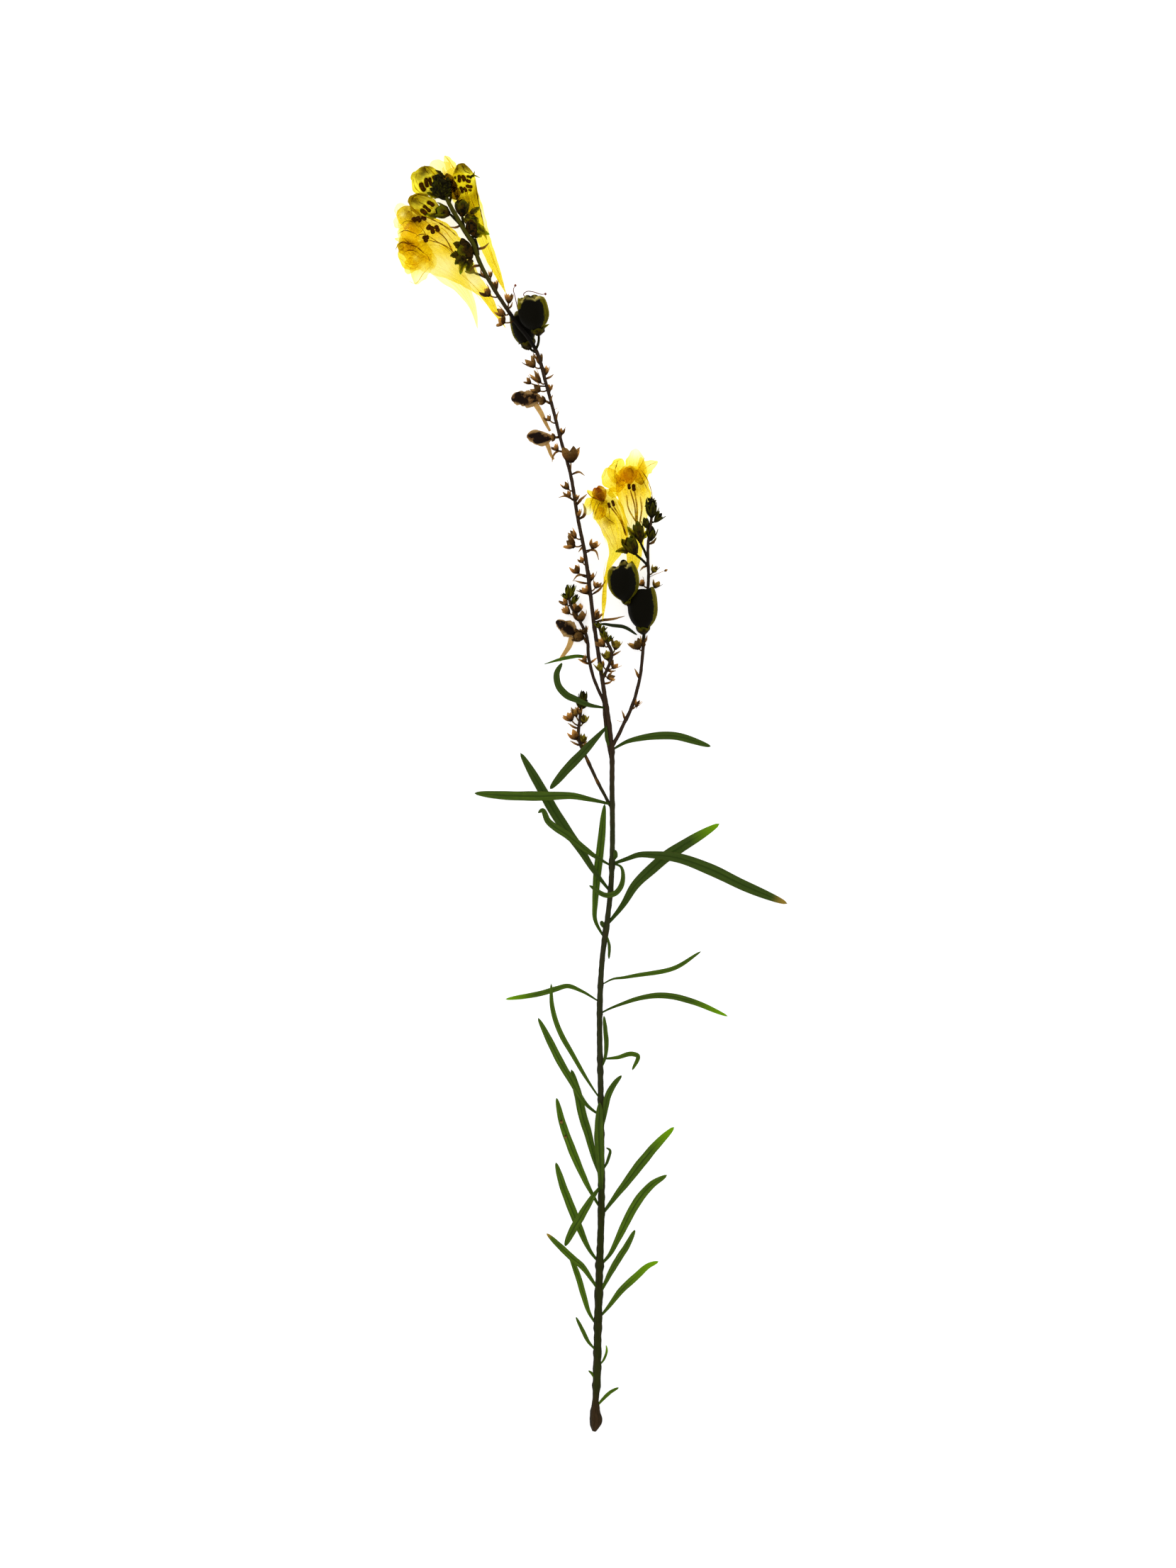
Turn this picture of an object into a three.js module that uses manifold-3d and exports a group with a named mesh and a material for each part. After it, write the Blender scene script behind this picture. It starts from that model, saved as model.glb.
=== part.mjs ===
// A cut stem of common toadflax, laid on a flat surface and seen from straight above.
// Millimetres, +Z up. The surface is z = 0, +Y runs from the cut base to the flowering tip.
import * as THREE from "three";
import Module from "manifold-3d";

const wasm = await Module();
wasm.setup();

// Driving dimensions
const perPixel = 0.14; // one pixel of the reference picture, which gives a stem 252 mm long
const midU = 833; // picture column above the origin, u runs right
const midV = 1119; // picture row above the origin, v runs down
const clearance = 0.3; // gap between a piece and its seat
const seatGrow = 0.42; // a seat is cut with its slanted calyx grown by this, which leaves that gap
const bladeThick = 0.62; // leaf at its midrib
const bladeEdge = 0.34; // leaf at its margin
const petalThick = 0.6;
const corollaWall = 0.5;
const capsuleWall = 0.45;
const stalkRadius = 0.3; // pedicels
const cupSwell = 0.08; // a pedicel widens by this where its cup starts
const plainCup = 0.6; // cups below this radius have a plain five-cornered mouth
const cupWaist = 0.84; // radius of a cup at its waist and in its notches, as a share of its mouth
const cupWaistAt = 0.36; // height of the waist as a share of the cup
const cupNotchAt = 0.62; // height of the notches between the sepals
const cupFloorAt = 0.42; // height of the floor inside
const filamentRadius = 0.24;
const antherRadius = 0.52;
const budRise = 0.4; // height a bud gains over its axis
const bractRise = 0.5; // height a bract gains, unless its own tip height is given
const bractArch = 0.3; // height added half way along a bract
const surfaceGap = 0.1; // least height of a cup over the surface
const goldenTurn = 2.39996; // turn from one bud of a dense head to the next, in radians

// Colours
function paint(color, roughness) {
  return new THREE.MeshStandardMaterial({ color, roughness, metalness: 0 });
}
const stemGreen = paint(0x3c4a22, 0.6);
const stalkBrown = paint(0x4a3b24, 0.65);
const petalYellow = paint(0xeedc3a, 0.5);
const petalPale = paint(0xf5edb0, 0.5);
const budYellow = paint(0xa8a61e, 0.5);
const palateOrange = paint(0xd8860f, 0.5);
const antherBrown = paint(0x4a1d0c, 0.6);
const capsuleGreen = paint(0x55702a, 0.55);
const seedBlack = paint(0x1c1816, 0.7);
const witheredTan = paint(0x8c6a48, 0.8);

// A seeded draw between 0 and 1, the same on every run.
let drawState = 20;
function draw() {
  drawState = (drawState * 1664525 + 1013904223) % 4294967296;
  return drawState / 4294967296;
}
const between = (low, high) => low + (high - low) * draw();

// From picture pixels and a height in millimetres to a point
function at([u, v, z]) {
  return new THREE.Vector3((u - midU) * perPixel, (midV - v) * perPixel, z);
}

// A closed solid from rings of points. A ring of one point is a pole, a ring may have twice the
// corners of the one before it, and open ends get a fan.
function solidFromRings(rings) {
  const places = [];
  const starts = [];
  for (const ring of rings) {
    starts.push(places.length);
    places.push(...ring);
  }
  const faces = [];
  for (let i = 0; i + 1 < rings.length; i++) {
    const lower = rings[i].length;
    const upper = rings[i + 1].length;
    if (lower > 1 && upper === 2 * lower) {
      for (let k = 0; k < lower; k++) {
        const a = starts[i] + k;
        const b = starts[i] + ((k + 1) % lower);
        const corner = starts[i + 1] + 2 * k;
        const after = starts[i + 1] + ((2 * k + 2) % upper);
        faces.push(a, b, corner + 1, b, after, corner + 1, a, corner + 1, corner);
      }
      continue;
    }
    const count = Math.max(lower, upper);
    for (let k = 0; k < count; k++) {
      const next = (k + 1) % count;
      const a = starts[i] + (lower > 1 ? k : 0);
      const b = starts[i] + (lower > 1 ? next : 0);
      const c = starts[i + 1] + (upper > 1 ? next : 0);
      const d = starts[i + 1] + (upper > 1 ? k : 0);
      if (lower > 1) faces.push(a, b, d);
      if (upper > 1) faces.push(b, c, d);
    }
  }
  const closeEnd = (start, count, turned) => {
    if (count < 2) return;
    const middle = new THREE.Vector3();
    for (let k = 0; k < count; k++) middle.addScaledVector(places[start + k], 1 / count);
    places.push(middle);
    for (let k = 0; k < count; k++) {
      const next = (k + 1) % count;
      const edge = turned ? [start + next, start + k] : [start + k, start + next];
      faces.push(places.length - 1, ...edge);
    }
  };
  closeEnd(starts[0], rings[0].length, true);
  closeEnd(starts[starts.length - 1], rings[rings.length - 1].length, false);
  const solid = manifoldOf(places, faces);
  if (solid.volume() > 0) return solid;
  for (let i = 0; i < faces.length; i += 3) [faces[i], faces[i + 1]] = [faces[i + 1], faces[i]];
  return manifoldOf(places, faces);
}

function manifoldOf(places, faces) {
  const vertProperties = new Float32Array(places.flatMap((p) => [p.x, p.y, p.z]));
  return new wasm.Manifold(new wasm.Mesh({ numProp: 3, vertProperties, triVerts: new Uint32Array(faces) }));
}

const join = (solids) => solids.reduce((whole, solid) => whole.add(solid));

// The largest body of a cut solid; scraps that a cut leaves loose are dropped.
function mainBody(solid) {
  return solid.decompose().sort((a, b) => b.volume() - a.volume())[0];
}

// Stations along a smooth line: the place, the two directions across it, and extra values carried along.
function stations(rows, steps) {
  const curve = new THREE.CatmullRomCurve3(rows.map(at), false, "centripetal");
  const extras = rows[0].length - 3;
  const list = [];
  for (let i = 0; i <= steps; i++) {
    const t = i / steps;
    const place = curve.getPoint(t);
    const along = curve.getTangent(t);
    const across = new THREE.Vector3(0, 0, 1).cross(along).normalize();
    const over = new THREE.Vector3().crossVectors(along, across).normalize();
    const span = t * (rows.length - 1);
    const row = Math.min(rows.length - 2, Math.floor(span));
    const part = span - row;
    const values = [];
    for (let k = 0; k < extras; k++) {
      values.push(rows[row][3 + k] * (1 - part) + rows[row + 1][3 + k] * part);
    }
    list.push({ t, place, across, over, values });
  }
  return list;
}

// A ring round a station from outline points [across, over] in millimetres, turned by tilt.
function ringAt(station, outline, tilt = 0) {
  const c = Math.cos(tilt);
  const s = Math.sin(tilt);
  return outline.map(([a, b]) =>
    station.place
      .clone()
      .addScaledVector(station.across, a * c - b * s)
      .addScaledVector(station.over, a * s + b * c),
  );
}

function ellipse(halfWide, halfHigh, sides) {
  const outline = [];
  for (let k = 0; k < sides; k++) {
    const angle = (2 * Math.PI * (k + 0.5)) / sides;
    outline.push([halfWide * Math.cos(angle), halfHigh * Math.sin(angle)]);
  }
  return outline;
}

// A round stalk along rows of [u, v, z, radius].
function stalk(rows, { steps = rows.length - 1, sides = 6, grow = 0 } = {}) {
  const rings = stations(rows, steps).map((s) =>
    ringAt(s, ellipse(s.values[0] + grow, s.values[0] + grow, sides)),
  );
  return solidFromRings(rings);
}

// Width of a linear leaf along its length: a narrow foot, widest past the middle, a short point.
function leafWidth(t) {
  const opening = Math.pow(Math.sin(Math.min(1, t / 0.62) * (Math.PI / 2)), 1.2);
  return (0.24 + 0.76 * opening) * Math.sqrt(1 - Math.pow(t, 6));
}
// Width of a petal lobe: half at its foot, full past the middle, a little less at its end.
function lobeWidth(t) {
  return 0.5 + 0.5 * Math.sin(Math.PI * Math.pow(t, 0.8) * 0.86);
}

// A thin blade along rows of [u, v, z], with a pointed or a blunt end.
function blade(rows, wide, options = {}) {
  const { steps = 6, tilt = 0, widthAt = leafWidth, thick = bladeThick, edge = bladeEdge } = options;
  const { slim = false, blunt = false, keeled = false } = options;
  const rings = stations(rows, steps).map((s) => {
    const half = (wide / 2) * widthAt(s.t);
    if (s.t === 1 && !blunt) return [s.place.clone()];
    const mid = thick / 2;
    const rim = Math.min(edge / 2, half);
    const outline = keeled
      ? [[half, 0.1], [-half, 0.1], [0, 0.1 - thick]]
      : slim
      ? [[half, 0], [0, mid], [-half, 0], [0, -mid]]
      : [[half, -rim], [half, rim], [0, mid], [-half, rim], [-half, -rim], [0, -mid]];
    return ringAt(s, outline, tilt);
  });
  return solidFromRings(rings);
}

// Side vectors of a free axis
function frameAlong(base, tip) {
  const along = tip.clone().sub(base);
  const length = along.length();
  along.normalize();
  const helper = Math.abs(along.z) > 0.9 ? new THREE.Vector3(1, 0, 0) : new THREE.Vector3(0, 0, 1);
  const across = new THREE.Vector3().crossVectors(helper, along).normalize();
  const over = new THREE.Vector3().crossVectors(along, across);
  return { along, across, over, length };
}

// A ring on a free axis, at a share of its length, with radius given per corner.
function axisRing(base, frame, share, radiusAt, sides) {
  const ring = [];
  for (let k = 0; k < sides; k++) {
    const angle = (2 * Math.PI * k) / sides;
    const radius = radiusAt(k);
    ring.push(
      base
        .clone()
        .addScaledVector(frame.along, frame.length * (typeof share === "function" ? share(k) : share))
        .addScaledVector(frame.across, radius * Math.cos(angle))
        .addScaledVector(frame.over, radius * Math.sin(angle)),
    );
  }
  return ring;
}

// A pedicel that opens into a calyx cup of five pointed sepals: from start, over bend if there is
// one, to base, and on to the plane of the sepal tips.
function cupOnPedicel(start, bend, base, tip, radius) {
  const frame = frameAlong(base, tip);
  const round = (place, next) => axisRing(place, frameAlong(place, next), 0, () => stalkRadius, 5);
  const isSepal = (k) => k % 2 === 0;
  const height = (k) => (isSepal(k) ? 1 : cupNotchAt);
  const size = (k) => radius * (isSepal(k) ? 1 : cupWaist);
  const plain = radius < plainCup;
  const mouth = plain ? axisRing(base, frame, 1, () => radius, 5) : axisRing(base, frame, height, size, 10);
  return solidFromRings([
    round(start, bend ?? base),
    ...(bend ? [round(bend, base)] : []),
    axisRing(base, frame, 0, () => stalkRadius + cupSwell, 5),
    axisRing(base, frame, cupWaistAt, () => radius * cupWaist, 5),
    mouth,
    [base.clone().addScaledVector(frame.along, frame.length * cupFloorAt)],
  ]);
}

// The room such a calyx needs in what it carries: the same shape with a plain rim, grown all round
function cupRoom(start, bend, base, tip, radius, grow) {
  const frame = frameAlong(base, tip);
  const round = (place, next) => axisRing(place, frameAlong(place, next), 0, () => stalkRadius + grow, 5);
  return solidFromRings([
    round(start, bend),
    round(bend, base),
    axisRing(base, frame, 0, () => stalkRadius + cupSwell + grow, 5),
    axisRing(base, frame, cupWaistAt, () => radius * cupWaist + grow, 5),
    axisRing(base, frame, 1 + clearance / frame.length, () => radius + grow, 10),
  ]);
}

// A narrow scale with one ring of corners
function spike(base, tip, radius, sides = 3) {
  return solidFromRings([[base], axisRing(base, frameAlong(base, tip), 0.45, () => radius, sides), [tip]]);
}

// A closed spindle: bud, ovary or palate hump, which ends in a point or, if blunt, in a rounded end.
const spindleLow = 0.22; // shares of its length where its rings stand
const spindleHigh = 0.66;
const spindleCap = 0.92;
const capSize = 0.66; // radius of the rounded end
function spindle(base, tip, radius, { sides = 6, fullness = 0.8, grow = 0, blunt = false } = {}) {
  const frame = frameAlong(base, tip);
  const low = axisRing(base, frame, spindleLow, () => radius * fullness + grow, sides);
  const high = axisRing(base, frame, spindleHigh, () => radius + grow, sides);
  const end = (share) => [base.clone().addScaledVector(frame.along, frame.length * share)];
  const cap = axisRing(base, frame, spindleCap, () => radius * capSize + grow, sides);
  const over = grow / frame.length;
  return solidFromRings([end(-over), low, high, ...(blunt ? [cap] : []), end(1 + over)]);
}

// Main axis from the woody foot to the top of the raceme: u, v, height, radius
const mainAxis = [
  [838, 2020, 0.9, 0.3], [839.5, 2012, 0.95, 0.9], [841, 2004, 1.0, 1.12], [840, 1995, 1.05, 0.92],
  [840, 1987, 1.15, 0.7], [842, 1950, 1.4, 0.7], [843.5, 1875, 1.95, 0.68], [846, 1790, 2.4, 0.66],
  [848.5, 1700, 2.75, 0.57], [848.5, 1610, 2.9, 0.54], [847.5, 1530, 2.95, 0.52], [846, 1450, 3.0, 0.5],
  [847, 1395, 3.05, 0.49], [850, 1350, 3.1, 0.48], [856, 1305, 3.15, 0.47], [862, 1250, 3.2, 0.47],
  [864, 1200, 3.2, 0.46], [863.5, 1110, 3.3, 0.45], [863, 1058, 3.3, 0.45], [859, 1020, 3.4, 0.42],
  [853, 980, 3.45, 0.39], [847, 940, 3.5, 0.37], [838, 880, 3.55, 0.35], [832, 830, 3.6, 0.34],
  [826, 785, 3.6, 0.34], [815, 730, 3.7, 0.32], [804, 665, 3.75, 0.31], [791, 620, 3.8, 0.3],
  [781, 580, 4.0, 0.3], [770, 540, 4.4, 0.3], [755, 492, 5.3, 0.34], [744, 475, 5.6, 0.35],
  [731, 459, 5.7, 0.35], [718, 440, 5.6, 0.35], [699, 411, 5.65, 0.35], [684, 385, 5.9, 0.36],
  [675, 366, 6.1, 0.38], [669, 347, 6.4, 0.42], [657, 328, 6.9, 0.42], [645, 308, 7.4, 0.4],
  [635, 290, 7.8, 0.38], [621, 258, 8.3, 0.3],
];

// Column, row and height of an axis at a picture row
function onAxis(axis, v) {
  for (let i = 0; i + 1 < axis.length; i++) {
    const [lower, upper] = [axis[i], axis[i + 1]];
    if (v <= lower[1] && v >= upper[1]) {
      const share = (lower[1] - v) / (lower[1] - upper[1]);
      return [lower[0] + (upper[0] - lower[0]) * share, v, lower[2] + (upper[2] - lower[2]) * share];
    }
  }
  return (v > axis[0][1] ? axis[0] : axis[axis.length - 1]).slice(0, 3);
}

// Leaves of the main stem. route runs from the foot to the tip in picture pixels, wide is in mm,
// rise is the height added half way and tip the height of the tip.
const leaves = [
  {
    route: [[845, 1987], [850.5, 1974.5], [861, 1964.5], [873, 1958]],
    wide: 0.62, rise: 0.6, tip: 1.6, steps: 5,
  },
  { route: [[838, 1955], [835, 1938], [830, 1934]], wide: 0.45, rise: 0.4, tip: 1.5, steps: 4 },
  {
    route: [[848, 1930], [852.5, 1917], [856, 1903.5], [855, 1898]],
    wide: 0.37, rise: 0.5, tip: 2.4, steps: 5,
  },
  {
    route: [[838, 1908], [829.5, 1892], [821.5, 1876], [812.5, 1858]],
    wide: 0.69, rise: 1.2, tip: 3.2, steps: 5,
  },
  {
    route: [[837, 1873], [831.5, 1853], [822.5, 1825], [814, 1796.5], [803, 1770]],
    wide: 1.11, rise: 0.3, tip: 1.2,
  },
  {
    route: [[849, 1861], [859.5, 1842.5], [875, 1822], [895, 1803], [914.5, 1786], [929, 1780]],
    wide: 1.32, rise: 1.8, tip: 1.4,
  },
  {
    route: [[840, 1822], [833.5, 1803.5], [821, 1786], [805.5, 1773], [790, 1758], [771, 1740]],
    wide: 1.24, rise: 1.8, tip: 4.2,
  },
  {
    route: [[850, 1829], [859.5, 1798.5], [870.5, 1779], [883, 1759.5], [896, 1735]],
    wide: 1.25, rise: 2, tip: 3.4,
  },
  {
    route: [[851, 1786], [859, 1771.5], [873.5, 1744], [888, 1714], [903.5, 1689],
      [919.5, 1671.5], [941, 1658]],
    wide: 1.67, rise: 2.4, tip: 1,
  },
  {
    route: [[842, 1783], [832.5, 1765], [818.5, 1735], [806, 1704.5], [794.5, 1674.5], [784, 1640]],
    wide: 1.55, rise: 0.2, tip: 2.2,
  },
  {
    route: [[845, 1672], [835, 1690], [820, 1715], [808, 1735], [797, 1758]],
    wide: 1.55, rise: 2.6, tip: 4,
  },
  {
    route: [[853, 1715], [870.5, 1685], [887, 1663.5], [906.5, 1638], [927, 1614], [951, 1590]],
    wide: 1.8, rise: 1.6, tip: 3.6,
  },
  {
    route: [[845, 1707], [832.5, 1679.5], [818.5, 1650], [804, 1614.5], [793.5, 1585], [785, 1549]],
    wide: 1.49, rise: 0.6, tip: 0.9,
  },
  {
    route: [[845, 1665], [840, 1640], [831, 1605], [821, 1570.5], [815.5, 1545], [806, 1509]],
    wide: 1.65, rise: -0.4, tip: 1.2,
  },
  {
    route: [[849, 1690], [847, 1650], [845, 1600], [846, 1555]],
    wide: 1.8, rise: 1.6, tip: 4.2, steps: 7,
  },
  {
    route: [[852, 1600], [853, 1570], [858, 1545], [866, 1530], [877, 1517]],
    wide: 1.2, rise: 0.6, tip: 4, steps: 6,
  },
  {
    route: [[855, 1655], [858, 1635], [860, 1622], [855, 1619]],
    wide: 0.5, rise: 0.8, tip: 4.2, steps: 5,
  },
  {
    route: [[843, 1575], [829.5, 1560.5], [802.5, 1518.5], [789, 1495.5], [776.5, 1470.5], [759, 1436]],
    wide: 1.4, rise: 2, tip: 2,
  },
  {
    route: [[844, 1552], [835, 1533.5], [820, 1509], [805.5, 1483.5], [792.5, 1461], [779, 1420],
      [777.5, 1387]],
    wide: 0.95, rise: 2.2, tip: 4.6,
  },
  {
    route: [[851, 1494], [870, 1492], [893, 1487], [899, 1489], [892, 1510]],
    wide: 0.85, rise: 1, tip: 2.4,
  },
  {
    route: [[852, 1510], [853.5, 1492.5], [855.5, 1475], [854, 1453.5], [852, 1433]],
    wide: 0.83, rise: 0.9, tip: 4.1, steps: 6,
  },
  {
    route: [[851, 1430], [860, 1423], [880.5, 1415], [900.5, 1408.5], [925, 1404.5], [950, 1406],
      [975, 1412.5], [1027, 1434]],
    wide: 1.14, rise: 2, tip: 0.8, steps: 10,
  },
  {
    route: [[843, 1414], [820, 1398], [800, 1391], [785, 1395], [765, 1401], [713, 1410]],
    wide: 1.0, rise: 1.4, tip: 0.6, steps: 10,
  },
  {
    route: [[851, 1390], [865, 1381], [880, 1379], [900, 1375.5], [925, 1372], [950, 1366], [989, 1342]],
    wide: 0.83, rise: 1.2, tip: 4.4, steps: 9,
  },
  { route: [[855, 1315], [859.5, 1335], [859, 1353]], wide: 0.5, rise: 0.5, tip: 4.2, steps: 4 },
  {
    route: [[849, 1325], [839, 1295], [839.5, 1275], [841, 1250], [843.5, 1225], [847, 1195],
      [853, 1134]],
    wide: 1.5, rise: -1.7, tip: 2.3,
  },
  {
    route: [[861, 1305], [880, 1275], [895, 1250], [915, 1230], [935, 1212], [960, 1195],
      [985, 1180], [1015, 1162]],
    wide: 2.2, rise: -0.7, tip: 2.6, steps: 10,
  },
  {
    route: [[868, 1219], [886, 1211], [900.5, 1206], [925, 1206], [950, 1209], [1000, 1225.5],
      [1050, 1249.5], [1111, 1275]],
    wide: 2.23, rise: 4.3, tip: 0.1, steps: 12,
  },
  {
    route: [[866, 1218], [876, 1223], [879, 1235], [876, 1250], [868, 1260], [858, 1263], [831, 1249]],
    wide: 1.0, rise: 1.5, tip: 4.9, steps: 9,
  },
  {
    route: [[859, 1258], [835, 1224], [820, 1200], [800, 1172], [780, 1142], [765, 1115], [734, 1062]],
    wide: 2.0, rise: -0.4, tip: 1.1, steps: 10,
  },
  {
    route: [[860, 1222], [835, 1205], [818, 1192], [800, 1178], [773, 1158], [765, 1143], [759, 1147]],
    wide: 1.35, rise: 2, tip: 3.9, steps: 10,
  },
  {
    route: [[859, 1135], [830, 1127], [810, 1123], [770, 1123], [740, 1123], [710, 1122], [669, 1119]],
    wide: 1.8, rise: 3.2, tip: 0.1, steps: 10,
  },
  {
    route: [[857, 1022], [841, 1041], [821, 1063], [802.5, 1082], [776, 1113]],
    wide: 1.74, rise: 2.4, tip: 2.6,
  },
  {
    route: [[867, 1058], [885, 1046], [905, 1041], [950, 1038], [1003, 1053]],
    wide: 1.49, rise: 0.2, tip: 0.8,
  },
  {
    route: [[852, 999], [829.5, 994], [814, 987.5], [798.5, 980], [787.5, 966.5], [785.5, 950],
      [793, 935]],
    wide: 1.32, rise: 1.6, tip: 3.4, steps: 9,
  },
  {
    route: [[841, 884], [850, 880.5], [865, 882.5], [880, 884.5], [899, 896]],
    wide: 0.6, rise: 1.2, tip: 5, steps: 7,
  },
  { route: [[860, 1060], [856, 1042], [855, 1025]], wide: 0.6, rise: 0.2, tip: 3.9, steps: 4 },
  { route: [[865, 1214], [868, 1208], [868, 1199]], wide: 0.8, rise: 0.4, tip: 4, steps: 4 },
  { route: [[855, 1310], [850, 1304], [848, 1299]], wide: 0.8, rise: 0.2, tip: 3.6, steps: 4 },
];

// Dried calyx cups of the main raceme: centre u, v, width and height in picture pixels, then the row
// where the pedicel leaves the axis
const mainCups = [
  [843, 868, 9, 12, 872], [842, 825, 10, 9, 834], [835, 812, 8, 12, 822],
  [825, 833, 10, 10, 838], [812, 803, 11, 12, 815],
  [838, 768, 12, 11, 780], [804, 767, 15, 14, 768], [808, 754, 9, 12, 760],
  [816, 724, 7, 10, 733], [798, 685, 9, 12, 692], [801, 697, 8, 10, 706],
  [805, 641, 20, 20, 668], [793, 608, 7, 9, 617],
  [784, 632, 8, 8, 637], [773, 590, 8, 8, 597],
  [757, 533, 9, 16, 541], [757, 549, 13, 10, 550],
  [770, 522, 8, 12, 533], [749, 512, 12, 14, 519], [761, 507, 8, 13, 516],
  [706, 441, 10, 14, 441], [708, 454, 14, 8, 452], [718, 421, 10, 12, 436],
  [686, 413, 12, 12, 419], [699, 403, 7, 12, 414],
];

// Bracts of the main raceme: route in picture pixels, width in mm
const mainBracts = [
  { route: [[837, 878], [850, 875], [865, 873], [881, 869]], wide: 0.6 },
  { route: [[833, 840], [845, 832], [855, 818]], wide: 0.5 },
  { route: [[830, 812], [815, 812], [808, 820]], wide: 0.5 },
  { route: [[826, 777], [840, 777], [845, 790]], wide: 0.5 },
  { route: [[815, 733], [824, 727], [825, 718], [822, 710]], wide: 0.7 },
  { route: [[811, 714], [820, 704], [828, 697]], wide: 0.65 },
  { route: [[808, 706], [797, 700], [788, 702]], wide: 0.5 },
  { route: [[805, 670], [818, 666], [825, 671]], wide: 0.5 },
  { route: [[794, 637], [786, 637], [780, 645], [779, 652]], wide: 0.5 },
  { route: [[769, 535], [776, 532], [781, 528]], wide: 0.5 },
  { route: [[677, 375], [668, 377], [663, 384]], wide: 0.6 },
  { route: [[672, 352], [682, 350], [690, 343]], wide: 0.6 },
  { route: [[650, 318], [642, 322], [634, 321]], wide: 0.5 },
];

// Middle spray, a short side raceme that lies beside the main axis
const middleAxis = [
  [850, 958, 3.6, 0.3], [857, 943, 4.3, 0.3], [862, 931, 4.6, 0.3], [863, 921, 4.7, 0.3],
  [858, 909, 4.9, 0.3], [850, 896, 5.1, 0.28], [844, 882, 5.3, 0.26],
];
const middleCups = [
  [862, 955, 10, 10, 950], [867, 939, 9, 9, 943], [856, 924, 8, 10, 935],
  [869, 908, 11, 13, 922], [848, 907, 10, 12, 911], [853, 899, 8, 12, 906],
  [843, 943, 7, 8, 951],
];
const middleBracts = [
  { route: [[863, 926], [869, 922], [876, 918]], wide: 0.5 },
];

// Side sprays that are bodies of their own
const rightAxis = [
  [868, 1045, 3.65, 0.36], [873, 1036, 3.45, 0.34], [880, 1021, 3.0, 0.32], [888, 1005, 2.6, 0.32],
  [894, 990, 2.3, 0.31], [899, 972, 2.0, 0.31], [903, 955, 1.8, 0.3], [906, 930, 1.5, 0.3],
  [908, 905, 1.2, 0.3], [909, 885, 0.95, 0.3], [912, 860, 0.8, 0.28], [914, 832, 0.85, 0.28],
  [915, 810, 1.9, 0.28], [914, 790, 3.6, 0.28], [914.5, 765, 5.4, 0.26], [918, 740, 6.4, 0.26],
  [920, 722, 6.9, 0.24],
];
const rightCups = [
  [898, 909, 16, 14, 917], [894, 996, 8, 14, 1003], [905, 822, 9, 9, 828],
  [926, 824, 10, 10, 832], [923, 803, 8, 9, 810],
];
const rightBracts = [
  { route: [[882, 1017], [880, 1010], [877, 1002]], wide: 0.5 },
  { route: [[902, 958], [899, 951], [895, 943]], wide: 0.6 },
  { route: [[914, 798], [908, 800], [903, 805]], wide: 0.5 },
  { route: [[915, 768], [921, 765], [926, 759]], wide: 0.5 },
];
const rightBuds = [
  { from: [919, 727], tip: [917, 702], radius: 0.95 },
  { from: [921, 738], tip: [935, 724], radius: 0.55 },
  { from: [917, 748], tip: [905, 731], radius: 0.6 },
  { from: [916, 762], tip: [919, 743], radius: 0.85 },
];

const upperLeftAxis = [
  [852, 992, 3.0, 0.3], [845, 975, 2.3, 0.3], [837, 955, 1.8, 0.3], [833, 940, 1.7, 0.3],
  [830, 925, 1.6, 0.3], [829, 905, 1.5, 0.3], [826, 893, 1.5, 0.3], [820, 880, 1.5, 0.28],
  [812, 866, 1.5, 0.28], [805, 853, 1.5, 0.27], [802, 838, 1.5, 0.26],
];
const upperLeftCups = [
  [824, 889, 9, 11, 903], [824, 930, 8, 8, 935],
  [818, 869, 15, 14, 879], [815, 857, 13, 12, 868], [799, 861, 10, 11, 866],
  [796, 849, 9, 10, 853],
];
const upperLeftBuds = [
  { from: [802, 840], tip: [802, 827], radius: 0.55 },
  { from: [803, 846], tip: [811, 829], radius: 0.5 },
  { from: [806, 853], tip: [816, 840], radius: 0.55 },
];
const upperLeftBracts = [
  { route: [[832, 937], [823, 934], [815, 930]], wide: 0.5 },
  { route: [[832, 936], [838, 931], [843, 927]], wide: 0.5 },
  { route: [[831, 927], [815, 925.5], [800, 928], [785, 932], [768, 937]], wide: 0.85, tip: 3.2 },
];

const lowerLeftAxis = [
  [861, 1137, 2.5, 0.3], [851, 1118, 2.2, 0.3], [843, 1103, 2.1, 0.3], [836, 1088, 1.8, 0.3],
  [829, 1073, 1.6, 0.3], [823, 1060, 1.5, 0.3], [818, 1048, 1.5, 0.3], [816, 1035, 1.5, 0.3],
  [818, 1015, 1.5, 0.28], [820, 997, 1.5, 0.26], [822, 985, 1.5, 0.25],
];
const lowerLeftCups = [
  [810, 1037, 12, 12, 1045], [822, 1041, 8, 10, 1052], [803, 1011, 14, 12, 1024],
  [811, 1004, 8, 13, 1018], [825, 1013, 8, 10, 1024],
];
const lowerLeftBuds = [
  { from: [821, 996], tip: [823, 974], radius: 0.8 },
  { from: [820, 1000], tip: [815, 986], radius: 0.5 },
  { from: [821, 1000], tip: [829, 987], radius: 0.5 },
];
const lowerLeftBracts = [
  { route: [[817, 1028], [808, 1025], [801, 1020]], wide: 0.5 },
  { route: [[818, 1052], [811, 1049], [804, 1045]], wide: 0.5 },
  { route: [[831, 1080], [829, 1073], [826, 1067]], wide: 0.5 },
  { route: [[845, 1109], [842, 1102], [839, 1097]], wide: 0.5 },
];

// Cups stand round their axis in a spiral, so every next one is higher or lower than it.
const cupLifts = [0.1, 0.9, -0.5, 0.5, -0.2];

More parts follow.
